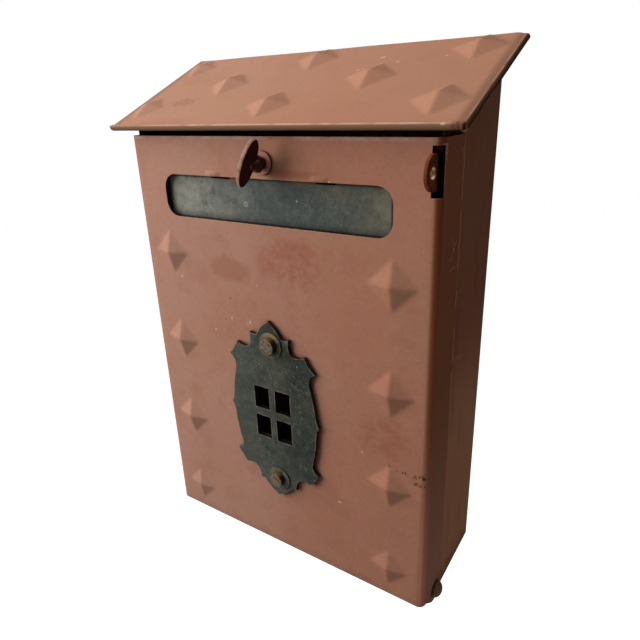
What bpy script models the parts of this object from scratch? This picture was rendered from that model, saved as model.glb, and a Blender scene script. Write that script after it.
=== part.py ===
"""Wall-hung sheet-steel letter box with a bottom-hinged door.

Frame: metres, +Z up. The back lies on the wall plane Y = 0, the door faces -Y, X = 0 is the
middle of the box, and Z = 0 is the level of the door's bottom edge.
"""
import math

import bmesh
import bpy
from mathutils import Matrix, Vector

MM = 0.001

# Driving dimensions
SHEET = 1.0 * MM
GAP = 0.3 * MM

DOOR_WIDTH = 240.0 * MM
DOOR_HEIGHT = 318.5 * MM
DOOR_FRONT = -96.0 * MM
DOOR_FLANGE = 30.0 * MM
DOOR_BEND = 5.5 * MM

BODY_WIDTH = 235.0 * MM
BODY_FRONT = DOOR_FRONT + 6.0 * MM
BODY_BEND = 2.0 * MM
BODY_BOTTOM_BACK = -4.5 * MM
BODY_BOTTOM_SLOPE = 0.10
TOP_FLANGE = 9.0 * MM

ROOF_HALF_WIDTH = 132.4 * MM
ROOF_FRONT_Y = DOOR_FRONT - 6.2 * MM
ROOF_FRONT_Z = 324.2 * MM
ROOF_PITCH = math.radians(25.3)
ROOF_LENGTH = 108.6 * MM
RIM_RADIUS = 2.0 * MM

PYRAMID_HALF = 16.2 * MM
PYRAMID_RISE = 5.0 * MM
DOOR_PYRAMID_X = (-91.6 * MM, 92.0 * MM)
DOOR_PYRAMID_Z = (24.6 * MM, 94.8 * MM, 165.0 * MM, 236.0 * MM)
LOW_PYRAMID_SCALE = 0.90
ROOF_PYRAMID_HALF = 17.0 * MM
ROOF_PYRAMID_RISE = 5.0 * MM
ROOF_PYRAMID_X = -6.0 * MM
ROOF_PYRAMID_PITCH = 114.6 * MM
ROOF_PYRAMID_ROWS = (27.8 * MM, 60.6 * MM, 92.6 * MM)

SLOT_CENTRE = (1.1 * MM, 278.1 * MM)
SLOT_SIZE = (181.6 * MM, 29.6 * MM)
SLOT_RADIUS = 10.5 * MM

HINGE_Y = DOOR_FRONT + 21.0 * MM
HINGE_Z = 1.2 * MM
HINGE_LUG = 10.5 * MM
HINGE_SHANK = 2.5 * MM
HINGE_HEAD = 6.5 * MM
HINGE_DOME = 5.2 * MM

LATCH_X = 2.0 * MM
LATCH_Z = 302.9 * MM
LATCH_TILT = math.radians(26.0)
CAM_REACH = 12.0 * MM
COLLAR_RADIUS = 7.25 * MM
COLLAR_THICKNESS = 1.2 * MM
NECK_BACK = 5.4 * MM
THUMB_PLATE_HALF = (15.9 * MM, 6.8 * MM)
THUMB_PLATE_OUT = 15.0 * MM
THUMB_PLATE_THICKNESS = 3.5 * MM

FLAP_AXIS_Y = DOOR_FRONT + 3.1 * MM
FLAP_AXIS_Z = 294.4 * MM
FLAP_SHEET = 0.7 * MM
FLAP_WIRE = 0.8 * MM
FLAP_NOTCHES = ((-47.6 * MM, -30.8 * MM), (38.1 * MM, 52.0 * MM))
KNUCKLE_X = (-26.8 * MM, 33.0 * MM)
KNUCKLE_WIDTH = 8.0 * MM
LANCE_X = (-42.1 * MM, 43.4 * MM)
LANCE_Y = DOOR_FRONT + 1.1 * MM
LANCE_LENGTH = 13.5 * MM
LANCE_RADIUS = 2.4 * MM

CREST_CENTRE = (-1.4 * MM, 125.0 * MM)
CREST_THICKNESS = 3.0 * MM
CREST_BACK = DOOR_FRONT - 0.4 * MM
STUD_X = 0.5 * MM
STUD_Z = (68.5 * MM, 180.0 * MM)
STUD_HEADS = ((5.6 * MM, 4.1 * MM), (6.3 * MM, 4.3 * MM))
WASHER_RADIUS = 9.5 * MM
WINDOW_SIZE = (13.5 * MM, 18.0 * MM)
WINDOW_GAP = (5.4 * MM, 6.3 * MM)
WINDOW_CENTRE = (-1.8 * MM, 123.1 * MM)

EAR_THICKNESS = 2.2 * MM
EAR_HALF_HEIGHT = 9.8 * MM
EAR_Z = 301.2 * MM
EAR_REACH = 12.0 * MM
HASP_SLOT_X = (113.5 * MM, 119.4 * MM)
HASP_SLOT_Z = (287.9 * MM, 314.6 * MM)
HASP_SLOT_BACK = DOOR_FRONT + 4.5 * MM

HEADER_Z = (311.5 * MM, 317.8 * MM)
HEADER_THICKNESS = 1.5 * MM

# Half the crest's outline in millimetres from its centre, from its top point down one side. Each
# entry is a corner and the sagitta of the arc that leads to it: outward is positive, a straight
# edge is zero. The other half mirrors it.
CREST_SIDE = (
    (0.0, 72.3, 0.0),
    (10.6, 60.8, 1.1),
    (17.2, 61.6, -0.6),
    (30.2, 51.3, -7.8),
    (38.2, 40.5, -1.0),
    (32.8, 31.5, -1.6),
    (37.9, 5.0, 0.5),
    (40.2, -1.5, -0.4),
    (37.6, -7.0, -0.6),
    (32.8, -35.0, 1.0),
    (38.3, -42.0, -1.5),
    (30.3, -53.0, 0.2),
    (21.0, -52.3, -0.8),
    (17.2, -63.0, -1.6),
    (12.8, -63.0, -0.4),
    (0.0, -73.4, 0.9),
)

# A flat outline lies in its own XY plane. FACING stands it up with its X along the box's X and
# its thickness towards the front, and SIDEWAYS turns its X to the box's Y, thickness along X.
FACING = (math.radians(90.0), 0.0, 0.0)
SIDEWAYS = (math.radians(90.0), 0.0, math.radians(90.0))


# Scene
def clear_scene():
    for old in list(bpy.data.objects):
        bpy.data.objects.remove(old, do_unlink=True)


def new_collection(name):
    collection = bpy.data.collections.new(name)
    bpy.context.scene.collection.children.link(collection)
    return collection


clear_scene()
PARTS = new_collection("rusty_mailbox")
CUTTERS = new_collection("cutters")


def paint(name, colour, roughness, metallic):
    material = bpy.data.materials.new(name)
    material.use_nodes = True
    shader = material.node_tree.nodes["Principled BSDF"]
    shader.inputs["Base Color"].default_value = (*colour, 1.0)
    shader.inputs["Roughness"].default_value = roughness
    shader.inputs["Metallic"].default_value = metallic
    return material


def empty(name, location, parent=None, rotation=(0.0, 0.0, 0.0)):
    marker = bpy.data.objects.new(name, None)
    PARTS.objects.link(marker)
    marker.empty_display_size = 10.0 * MM
    hang(marker, parent, location, rotation)
    return marker


def hang(item, parent, location=(0.0, 0.0, 0.0), rotation=(0.0, 0.0, 0.0)):
    """Parent an item and place it at a point given from the box's datum."""
    item.rotation_euler = rotation
    item.location = Vector(location)
    if parent is not None:
        item.parent = parent
        item.location -= datum_of(parent)


def datum_of(marker):
    place = Vector((0.0, 0.0, 0.0))
    while marker is not None:
        place += marker.location
        marker = marker.parent
    return place


# Outlines
def arc(centre, radius, start, end, steps):
    """Points on a circle from one angle to another, in degrees, both ends included."""
    points = []
    for i in range(steps + 1):
        angle = math.radians(start + (end - start) * i / steps)
        points.append((centre[0] + radius * math.cos(angle), centre[1] + radius * math.sin(angle)))
    return points


def circle(centre, radius, steps=24):
    return arc(centre, radius, 0.0, 360.0, steps)[:-1]


def rectangle(centre, size):
    x, y = centre
    w, h = size[0] / 2, size[1] / 2
    return [(x - w, y - h), (x + w, y - h), (x + w, y + h), (x - w, y + h)]


def rounded_rectangle(centre, size, radius, steps=6):
    points = []
    for turn, (sx, sy) in enumerate(((1, 1), (-1, 1), (-1, -1), (1, -1))):
        corner = (centre[0] + sx * (size[0] / 2 - radius), centre[1] + sy * (size[1] / 2 - radius))
        points += arc(corner, radius, 90.0 * turn, 90.0 * turn + 90.0, steps)
    return points


def bulge(start, end, sagitta, steps=6):
    """Points after start up to end, on an arc whose middle stands off the chord by sagitta."""
    if sagitta == 0.0:
        return [end]
    run = Vector(end) - Vector(start)
    outward = Vector((run.y, -run.x)).normalized() * -1.0
    points = []
    for i in range(1, steps + 1):
        t = i / steps
        lift = sagitta * 4.0 * t * (1.0 - t)
        point = Vector(start) + run * t + outward * lift
        points.append((point.x, point.y))
    return points


# Makers
def finish(thing, name, collection, material=None):
    thing.name = name
    collection.objects.link(thing)
    if material is not None:
        thing.data.materials.clear()
        thing.data.materials.append(material)
        thing.data.shade_smooth()
        thing.data.set_sharp_from_angle(angle=math.radians(21.0))
    else:
        thing.hide_render = True
        thing.display_type = 'WIRE'
    return thing


def mesh_object(bm, name, collection, material=None):
    mesh = bpy.data.meshes.new(name)
    bmesh.ops.recalc_face_normals(bm, faces=bm.faces[:])
    bm.to_mesh(mesh)
    bm.free()
    return finish(bpy.data.objects.new(name, mesh), name, collection, material)


def cut_out(name, loops, thickness, material=None, rounding=0.0):
    """A flat piece: the first loop is its outline, the others are holes."""
    curve = bpy.data.curves.new(name + "_outline", 'CURVE')
    curve.dimensions = '2D'
    curve.fill_mode = 'BOTH'
    curve.extrude = thickness / 2 - rounding
    curve.bevel_depth = rounding
    curve.bevel_resolution = 1
    curve.offset = -rounding
    for loop in loops:
        spline = curve.splines.new('POLY')
        spline.points.add(len(loop) - 1)
        for point, (x, y) in zip(spline.points, loop):
            point.co = (x, y, 0.0, 1.0)
        spline.use_cyclic_u = True
    drawn = bpy.data.objects.new(name + "_outline", curve)
    bpy.context.scene.collection.objects.link(drawn)
    evaluated = drawn.evaluated_get(bpy.context.evaluated_depsgraph_get())
    mesh = bpy.data.meshes.new_from_object(evaluated)
    bpy.data.objects.remove(drawn, do_unlink=True)
    bm = bmesh.new()
    bm.from_mesh(mesh)
    bpy.data.meshes.remove(mesh)
    bmesh.ops.remove_doubles(bm, verts=bm.verts[:], dist=0.005 * MM)
    collection = PARTS if material is not None else CUTTERS
    return mesh_object(bm, name, collection, material)


def turned(name, profile, material=None, steps=28):
    """A turned solid about its own Z from (radius, height) points, top centre to bottom centre."""
    mesh = bpy.data.meshes.new(name)
    edges = [(i, i + 1) for i in range(len(profile) - 1)]
    mesh.from_pydata([(r, 0.0, h) for r, h in profile], edges, [])
    collection = PARTS if material is not None else CUTTERS
    solid = finish(bpy.data.objects.new(name, mesh), name, collection, material)
    screw = solid.modifiers.new("turn", 'SCREW')
    screw.axis = 'Z'
    screw.steps = steps
    screw.render_steps = steps
    screw.use_merge_vertices = True
    screw.merge_threshold = 0.01 * MM
    return solid


def block(name, x, y, z, material=None, round_edges=None, radius=0.0, segments=5):
    """A box between pairs of planes, with the edges that round_edges picks rounded."""
    bm = bmesh.new()
    bmesh.ops.create_cube(bm, size=1.0)
    size = Vector((x[1] - x[0], y[1] - y[0], z[1] - z[0]))
    bmesh.ops.scale(bm, vec=size, verts=bm.verts[:])
    middle = Vector((x[0] + x[1], y[0] + y[1], z[0] + z[1])) / 2
    bmesh.ops.translate(bm, vec=middle, verts=bm.verts[:])
    round_off(bm, round_edges, radius, segments)
    collection = PARTS if material is not None else CUTTERS
    return mesh_object(bm, name, collection, material)


def round_off(bm, pick, radius, segments):
    if pick is None:
        return
    edges = [e for e in bm.edges if pick(e.verts[0].co, e.verts[1].co)]
    bmesh.ops.bevel(bm, geom=edges, offset=radius, segments=segments, profile=0.5,
                    affect='EDGES', clamp_overlap=True)


def prism(name, outline, x, material=None, round_edges=None, radius=0.0, segments=3):
    """A solid of one side outline, given as (y, z) points, between two planes across X."""
    bm = bmesh.new()
    near = [bm.verts.new((x[0], y, z)) for y, z in outline]
    base = bm.faces.new(near)
    swept = bmesh.ops.extrude_face_region(bm, geom=[base])
    moved = [v for v in swept["geom"] if isinstance(v, bmesh.types.BMVert)]
    bmesh.ops.translate(bm, vec=(x[1] - x[0], 0.0, 0.0), verts=moved)
    round_off(bm, round_edges, radius, segments)
    collection = PARTS if material is not None else CUTTERS
    return mesh_object(bm, name, collection, material)


def boolean(target, other, operation='DIFFERENCE'):
    modifier = target.modifiers.new(operation.lower(), 'BOOLEAN')
    modifier.operation = operation
    modifier.solver = 'EXACT'
    modifier.object = other


def bore(target, centre, radius, length, rotation=FACING, steps=24):
    """A round hole: centre is its middle, and rotation turns its axis from Z."""
    cutter = cut_out(target.name + "_bore", [circle((0.0, 0.0), radius, steps)], length)
    hang(cutter, None, centre, rotation)
    boolean(target, cutter)


def pyramids(name, places, half, rise, sink, left_edge=None):
    """Four-sided pyramids, corners along X and Y, standing on Z = 0 and sunk below it."""
    bm = bmesh.new()
    for x, y, scale in places:
        h = rise * scale
        cone = bmesh.ops.create_cone(bm, cap_ends=True, segments=4, depth=h + sink,
                                     radius1=half * scale * (h + sink) / h, radius2=0.0)
        bmesh.ops.translate(bm, vec=(x, y, (h - sink) / 2), verts=cone["verts"])
    if left_edge is not None:
        for vert in bm.verts:
            vert.co.x = max(vert.co.x, left_edge)
    bmesh.ops.remove_doubles(bm, verts=bm.verts[:], dist=0.005 * MM)
    return mesh_object(bm, name, CUTTERS)


# Materials
COPPER_PAINT = paint("copper_paint", (0.36, 0.165, 0.105), 0.55, 0.0)
BROWN_PAINT = paint("brown_paint", (0.25, 0.115, 0.075), 0.55, 0.0)
ZINC = paint("dull_zinc", (0.16, 0.17, 0.155), 0.55, 0.6)
PATINA = paint("dark_patina", (0.075, 0.085, 0.08), 0.6, 0.5)
BRASS = paint("aged_brass", (0.26, 0.18, 0.09), 0.5, 0.7)
IRON = paint("maroon_iron", (0.11, 0.045, 0.035), 0.55, 0.2)
STEEL = paint("rusty_steel", (0.2, 0.12, 0.08), 0.7, 0.5)


# Datums
BOX = empty("wall_datum", (0.0, 0.0, 0.0))
DOOR_AXIS = empty("door_hinge_axis", (0.0, HINGE_Y, HINGE_Z), BOX)
LATCH_AXIS = empty("latch_axis", (LATCH_X, DOOR_FRONT, LATCH_Z), DOOR_AXIS)
FLAP_AXIS = empty("flap_axis", (0.0, FLAP_AXIS_Y, FLAP_AXIS_Z), DOOR_AXIS)
ROOF = empty("roof_slope", (0.0, ROOF_FRONT_Y, ROOF_FRONT_Z), BOX, (ROOF_PITCH, 0.0, 0.0))


def roof_line(y, drop):
    """Height at y of a line parallel to the roof sheet's middle, drop below it."""
    return ROOF_FRONT_Z + (y - ROOF_FRONT_Y) * math.tan(ROOF_PITCH) - drop / math.cos(ROOF_PITCH)


def bottom_line(y):
    return BODY_BOTTOM_BACK + BODY_BOTTOM_SLOPE * y


# Body
def body_outline(inset):
    """The body's side outline, drawn in from the back and the top by inset."""
    top = SHEET / 2 + GAP + inset
    if inset > 0.0:
        front, low = BODY_FRONT - 5.0 * MM, -40.0 * MM
        return [(front, low), (-inset, low), (-inset, roof_line(-inset, top)),
                (front, roof_line(front, top))]
    toe = DOOR_FRONT + 18.0 * MM
    return [(toe, bottom_line(toe)), (0.0, BODY_BOTTOM_BACK), (0.0, roof_line(0.0, top)),
            (BODY_FRONT, roof_line(BODY_FRONT, top)), (BODY_FRONT, -1.0 * MM)]


def folds(half_width, back, slack):
    """Picks the back's upright folds and the folds round the top."""
    def pick(a, b):
        on_back = abs(a.y - back) < slack and abs(b.y - back) < slack
        on_side = abs(a.x - b.x) < slack and abs(abs(a.x) - half_width) < slack
        upright = on_back and on_side
        sloping = on_side and abs(a.y - b.y) > 50.0 * MM and min(a.z, b.z) > 250.0 * MM
        across = on_back and abs(a.z - b.z) < slack and a.z > 250.0 * MM
        return upright or sloping or across
    return pick


def make_body_shell():
    half = BODY_WIDTH / 2
    slack = 0.01 * MM
    shell = prism("body_shell", body_outline(0.0), (-half, half), COPPER_PAINT,
                  folds(half, 0.0, slack), BODY_BEND)
    inner = half - SHEET
    hollow = prism("body_hollow", body_outline(SHEET), (-inner, inner), None,
                   folds(inner, -SHEET, slack), BODY_BEND - SHEET)
    hang(shell, BOX)
    boolean(shell, hollow)
    opening_half = half - TOP_FLANGE
    top = block("body_top_opening", (-opening_half, opening_half),
                (BODY_FRONT - 20.0 * MM, -TOP_FLANGE), (325.0 * MM, 400.0 * MM))
    boolean(shell, top)
    mouth = block("body_mouth", (-inner - GAP, inner + GAP), (-0.15, BODY_FRONT + TOP_FLANGE),
                  (322.0 * MM, 400.0 * MM))
    boolean(shell, mouth)
    for side in (-1, 1):
        bore(shell, (side * half, HINGE_Y, HINGE_Z), HINGE_SHANK + GAP, 10.0 * MM, SIDEWAYS)
        relief = (side * (half - 3.0 * MM), -3.0 * MM, 368.0 * MM)
        bore(shell, relief, 2.5 * MM, 20.0 * MM, (0.0, 0.0, 0.0), 16)
        add_wall_holes(shell, side * 80.0 * MM)
    for y, z in ear_rivets():
        bore(shell, (half, y, z), 1.6 * MM, 10.0 * MM, SIDEWAYS, 16)
    return shell


def add_wall_holes(shell, x):
    """One keyhole high in the back and one plain screw hole low in it."""
    bore(shell, (x, 0.0, 48.0 * MM), 3.0 * MM, 10.0 * MM)
    keyhole = (arc((0.0, 0.0), 5.0 * MM, 115.0, 425.0, 20)
               + arc((0.0, 10.0 * MM), 2.2 * MM, 0.0, 180.0, 8))
    cutter = cut_out("keyhole", [keyhole], 10.0 * MM)
    hang(cutter, None, (x, 0.0, 335.0 * MM), FACING)
    boolean(shell, cutter)


def make_floor_panel():
    """A shallow tray between the sides, laid parallel to their sloping bottom edges."""
    half = BODY_WIDTH / 2 - SHEET - GAP
    front, back = DOOR_FRONT + 18.5 * MM, -SHEET - GAP
    wall = 5.5 * MM
    rise = 2.5 * MM

    def level(y, lift):
        return bottom_line(y) + rise + lift

    def tray(inset, floor, top):
        a, b = front + inset, back - inset
        return [(a, level(a, floor)), (b, level(b, floor)), (b, level(b, top)), (a, level(a, top))]

    panel = prism("floor_panel", tray(0.0, 0.0, wall), (-half, half), BROWN_PAINT)
    inner = half - SHEET
    hollow = prism("floor_hollow", tray(SHEET, SHEET, 30.0 * MM), (-inner, inner))
    hang(panel, BOX)
    boolean(panel, hollow)
    return panel


# Roof
def rim_profile(start):
    """A rolled edge in section, from the angle at which the sheet runs into it round to its end."""
    wall = SHEET * 0.85
    end = start + 297.0
    outer = arc((0.0, 0.0), RIM_RADIUS, start, end, 20)
    inner = arc((0.0, 0.0), RIM_RADIUS - wall, end, start, 14)
    return outer + inner


def make_roof_panel():
    """The front edge is rolled about the sheet's own plane, and the sides are rolled under it."""
    inner_edge = ROOF_HALF_WIDTH - RIM_RADIUS
    lap = RIM_RADIUS - 0.5 * MM
    panel = block("roof_panel", (-inner_edge, inner_edge), (lap, ROOF_LENGTH),
                  (-SHEET / 2, SHEET / 2), COPPER_PAINT)
    panel.parent = ROOF
    front = cut_out("roof_front_rim", [rim_profile(-5.0)], 2 * ROOF_HALF_WIDTH)
    front.rotation_euler = SIDEWAYS
    side_start = RIM_RADIUS + 0.5 * MM
    rims = [front]
    for side in (-1, 1):
        profile = [(side * -x, y) for x, y in rim_profile(90.0)]
        rim = cut_out("roof_side_rim", [profile], ROOF_LENGTH - side_start)
        rim.rotation_euler = FACING
        rim.location = (side * inner_edge, (ROOF_LENGTH + side_start) / 2, SHEET / 2 - RIM_RADIUS)
        rims.append(rim)
    for rim in rims:
        rim.parent = ROOF
        boolean(panel, rim, 'UNION')
    emboss(panel, roof_pyramid_places(), ROOF_PYRAMID_HALF, ROOF_PYRAMID_RISE,
           -inner_edge + RIM_RADIUS + 0.4 * MM)
    return panel


def roof_pyramid_places():
    front, middle, back = ROOF_PYRAMID_ROWS
    places = []
    for column in (-1.0, 0.0, 1.0):
        x = ROOF_PYRAMID_X + column * ROOF_PYRAMID_PITCH
        places += [(x, front, 1.0), (x, back, 1.0)]
    for column in (-0.5, 0.5):
        places.append((ROOF_PYRAMID_X + column * ROOF_PYRAMID_PITCH, middle, 1.0))
    return places


def emboss(panel, places, half, rise, left_edge):
    """Raise hollow pyramids on the roof sheet."""
    sink = 0.4 * MM
    outer = pyramids("roof_pyramids", places, half, rise, sink, left_edge)
    hollow = pyramids("roof_pyramid_hollows", places, half, rise, sink, left_edge)
    for solid, level in ((outer, SHEET / 2), (hollow, -SHEET / 2)):
        solid.parent = ROOF
        solid.location = (0.0, 0.0, level)
    boolean(panel, outer, 'UNION')
    boolean(panel, hollow)


# Body fittings
def make_header_strip():
    """The flat bar across the top of the mouth that the latch cam turns up behind."""
    half = BODY_WIDTH / 2 - SHEET - GAP
    strip = block("header_strip", (-half, half), (BODY_FRONT, BODY_FRONT + HEADER_THICKNESS),
                  HEADER_Z, BROWN_PAINT)
    hang(strip, BOX)


def ear_rivets():
    return ((DOOR_FRONT + 19.0 * MM, 296.0 * MM), (DOOR_FRONT + 19.0 * MM, 306.4 * MM))


def ear_faces():
    outer = BODY_WIDTH / 2 - SHEET - GAP
    return outer - EAR_THICKNESS, outer


def make_hasp_ear():
    """A flat lug riveted inside the right side that comes out through the door's slot."""
    r = EAR_HALF_HEIGHT
    nose = (DOOR_FRONT - EAR_REACH + r, EAR_Z)
    tail = DOOR_FRONT + 27.0 * MM
    outline = arc(nose, r, 90.0, 270.0, 16) + [(tail, EAR_Z - r), (tail, EAR_Z + r)]
    holes = [circle((DOOR_FRONT - 3.7 * MM, EAR_Z), 3.2 * MM, 20)]
    holes += [circle(place, 1.6 * MM, 16) for place in ear_rivets()]
    ear = cut_out("hasp_ear", [outline] + holes, EAR_THICKNESS, IRON)
    hang(ear, BOX, (sum(ear_faces()) / 2, 0.0, 0.0), SIDEWAYS)
    return ear


def make_hasp_rivets():
    """Flush outside under the door's flange, with a low round head inside on the lug."""
    shank = 1.3 * MM
    inside = ear_faces()[0] - GAP
    length = BODY_WIDTH / 2 - inside
    head = 1.2 * MM
    profile = [(0.0, 0.0), (shank, 0.0), (shank, -length), (3.2 * MM, -length),
               (2.9 * MM, -length - 0.7 * head), (1.6 * MM, -length - head),
               (0.0, -length - head)]
    for name, (y, z) in zip(("hasp_rivet_lower", "hasp_rivet_upper"), ear_rivets()):
        rivet = turned(name, profile, IRON, 20)
        hang(rivet, BOX, (BODY_WIDTH / 2, y, z), (0.0, math.radians(90.0), 0.0))


# Hinge
def make_hinges():
    """Domed rivets through the door's lugs and the body's sides, with a washer between."""
    flange_face = DOOR_WIDTH / 2 + GAP
    body_inside = BODY_WIDTH / 2 - SHEET - GAP
    head = [(HINGE_HEAD * math.sin(a), flange_face + HINGE_DOME * math.cos(a))
            for a in (math.radians(15.0 * i) for i in range(7))]
    tail = [(HINGE_SHANK, flange_face), (HINGE_SHANK, body_inside), (4.5 * MM, body_inside),
            (3.8 * MM, body_inside - 1.3 * MM), (2.0 * MM, body_inside - 2.0 * MM),
            (0.0, body_inside - 2.0 * MM)]
    ring = [circle((0.0, 0.0), 6.0 * MM), circle((0.0, 0.0), HINGE_SHANK + GAP)]
    space = DOOR_WIDTH / 2 - SHEET - BODY_WIDTH / 2
    for side, word in ((-1, "left"), (1, "right")):
        rivet = turned("hinge_rivet_" + word, head + tail, IRON)
        hang(rivet, BOX, (0.0, HINGE_Y, HINGE_Z), (0.0, side * math.radians(90.0), 0.0))
        washer = cut_out("hinge_washer_" + word, ring, space - 2 * GAP, STEEL)
        hang(washer, BOX, (side * (BODY_WIDTH + space) / 2, HINGE_Y, HINGE_Z), SIDEWAYS)


# Door
def make_door_panel():
    half = DOOR_WIDTH / 2
    back = DOOR_FRONT + DOOR_FLANGE

    def front_corner(a, b):
        return abs(a.z - b.z) > 100.0 * MM and a.y < DOOR_FRONT + 2.0 * MM

    panel = block("door_panel", (-half, half), (DOOR_FRONT, back), (0.0, DOOR_HEIGHT),
                  COPPER_PAINT, front_corner, DOOR_BEND, 6)
    panel.data.transform(Matrix.Translation((0.0, -HINGE_Y, -HINGE_Z)))
    panel.parent = DOOR_AXIS
    add_hinge_lugs(panel)
    inner = half - SHEET
    hollow = block("door_hollow", (-inner, inner), (DOOR_FRONT + SHEET, back + 20.0 * MM),
                   (-30.0 * MM, DOOR_HEIGHT + 10.0 * MM), None, front_corner,
                   DOOR_BEND - SHEET, 6)
    boolean(panel, hollow)
    add_door_pyramids(panel)
    add_lances(panel)
    add_door_openings(panel)
    return panel


def add_hinge_lugs(panel):
    """Lugs below the flanges, round about the hinge and running straight up to the front bend."""
    back = DOOR_FLANGE - (HINGE_Y - DOOR_FRONT)
    edge = math.degrees(math.acos(back / HINGE_LUG))
    toe = Vector((DOOR_FRONT + DOOR_BEND - HINGE_Y, 0.5 * MM - HINGE_Z))
    towards_toe = 180.0 + math.degrees(math.atan(toe.y / toe.x))
    tangent = towards_toe + math.degrees(math.acos(HINGE_LUG / toe.length))
    outline = arc((0.0, 0.0), HINGE_LUG, edge, 120.0, 8)
    outline += [(toe.x, 5.0 * MM), tuple(toe)]
    outline += arc((0.0, 0.0), HINGE_LUG, tangent, 360.0 - edge, 10)
    lugs = cut_out("door_lugs", [outline], DOOR_WIDTH)
    hang(lugs, None, (0.0, HINGE_Y, HINGE_Z), SIDEWAYS)
    boolean(panel, lugs, 'UNION')
    for side in (-1, 1):
        bore(panel, (side * DOOR_WIDTH / 2, HINGE_Y, HINGE_Z), HINGE_SHANK + 0.4 * MM,
             10.0 * MM, SIDEWAYS)


def add_door_pyramids(panel):
    places = []
    for x in DOOR_PYRAMID_X:
        for row, z in enumerate(DOOR_PYRAMID_Z):
            places.append((x, z, LOW_PYRAMID_SCALE if row == 0 else 1.0))
    sink = 0.4 * MM
    outer = pyramids("door_pyramids", places, PYRAMID_HALF, PYRAMID_RISE, sink)
    hollow = pyramids("door_pyramid_hollows", places, PYRAMID_HALF, PYRAMID_RISE, sink)
    hang(outer, None, (0.0, DOOR_FRONT, 0.0), FACING)
    hang(hollow, None, (0.0, DOOR_FRONT + SHEET, 0.0), FACING)
    boolean(panel, outer, 'UNION')
    boolean(panel, hollow)


def add_lances(panel):
    """Two half-round bulges pressed out of the slot's top edge, hollow behind."""
    r = LANCE_RADIUS
    for x in LANCE_X:
        bump = cut_out("lance", [circle((0.0, 0.0), r, 28)], LANCE_LENGTH, None, 0.9 * MM)
        hang(bump, None, (x, LANCE_Y, FLAP_AXIS_Z), SIDEWAYS)
        trim = block("lance_trim", (x - 20.0 * MM, x + 20.0 * MM),
                     (DOOR_FRONT + 0.5 * MM, DOOR_FRONT + 20.0 * MM), (270.0 * MM, 310.0 * MM))
        boolean(bump, trim)
        boolean(panel, bump, 'UNION')
        hollow = cut_out("lance_hollow", [circle((0.0, 0.0), r - 0.9 * MM, 28)],
                         LANCE_LENGTH - 2.0 * MM)
        hang(hollow, None, (x, LANCE_Y, FLAP_AXIS_Z), SIDEWAYS)
        boolean(panel, hollow)


def window_places():
    for sx in (-1, 1):
        for sz in (-1, 1):
            yield (WINDOW_CENTRE[0] + sx * (WINDOW_SIZE[0] + WINDOW_GAP[0]) / 2,
                   WINDOW_CENTRE[1] + sz * (WINDOW_SIZE[1] + WINDOW_GAP[1]) / 2)


def add_door_openings(panel):
    depth = 16.0 * MM
    slot = cut_out("mail_slot", [rounded_rectangle(SLOT_CENTRE, SLOT_SIZE, SLOT_RADIUS)], depth)
    hang(slot, None, (0.0, DOOR_FRONT, 0.0), FACING)
    boolean(panel, slot)
    margin = 1.0 * MM
    for x, z in window_places():
        w, h = WINDOW_SIZE[0] / 2 + margin, WINDOW_SIZE[1] / 2 + margin
        window = block("door_window", (x - w, x + w), (DOOR_FRONT - depth / 2, DOOR_FRONT + depth / 2),
                       (z - h, z + h))
        boolean(panel, window)
    for z in STUD_Z:
        bore(panel, (STUD_X, DOOR_FRONT, z), 2.9 * MM, depth)
    bore(panel, (LATCH_X, DOOR_FRONT, LATCH_Z), 3.4 * MM, 10.0 * MM)
    hasp = block("hasp_slot", HASP_SLOT_X, (DOOR_FRONT - 2.0 * MM, HASP_SLOT_BACK), HASP_SLOT_Z)
    boolean(panel, hasp)


# Crest
def crest_side():
    points = [CREST_SIDE[0][:2]]
    for (x0, z0, _), (x1, z1, sagitta) in zip(CREST_SIDE, CREST_SIDE[1:]):
        points += bulge((x0, z0), (x1, z1), sagitta)
    return points


def crest_outline():
    right = crest_side()
    left = [(-x, z) for x, z in reversed(right[1:-1])]
    return [(CREST_CENTRE[0] + x * MM, CREST_CENTRE[1] + z * MM) for x, z in right + left]


def make_crest():
    loops = [crest_outline()]
    loops += [rectangle(place, WINDOW_SIZE) for place in window_places()]
    loops += [circle((STUD_X, z), 2.8 * MM, 20) for z in STUD_Z]
    crest = cut_out("crest_plate", loops, CREST_THICKNESS, PATINA)
    hang(crest, DOOR_AXIS, (0.0, CREST_BACK - CREST_THICKNESS / 2, 0.0), FACING)


def make_crest_studs():
    """Round-headed studs, each with a washer under the head and a square nut behind the door."""
    washer_thickness = 0.8 * MM
    face = CREST_BACK - CREST_THICKNESS - GAP
    seat = face - washer_thickness - GAP
    shank = 2.4 * MM
    rounding = 0.6 * MM
    nut_front = DOOR_FRONT + SHEET + GAP
    nut_thickness = 3.2 * MM
    end = nut_front + nut_thickness + 2.0 * MM - seat
    ring = [circle((0.0, 0.0), WASHER_RADIUS, 32), circle((0.0, 0.0), shank + GAP, 20)]
    nut = [rectangle((0.0, 0.0), (8.5 * MM, 8.5 * MM)), circle((0.0, 0.0), shank + GAP, 20)]
    for word, z, (radius, head) in zip(("bottom", "top"), STUD_Z, STUD_HEADS):
        profile = [(0.0, head), (radius - rounding, head), (radius, head - rounding), (radius, 0.0),
                   (shank, 0.0), (shank, -end + rounding), (shank - rounding, -end), (0.0, -end)]
        stud = turned("crest_stud_" + word, profile, BRASS)
        hang(stud, DOOR_AXIS, (STUD_X, seat, z), FACING)
        washer = cut_out("crest_washer_" + word, ring, washer_thickness, BRASS)
        hang(washer, DOOR_AXIS, (STUD_X, face - washer_thickness / 2, z), FACING)
        square = cut_out("crest_nut_" + word, nut, nut_thickness, STEEL)
        hang(square, DOOR_AXIS, (STUD_X, nut_front + nut_thickness / 2, z), FACING)


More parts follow.
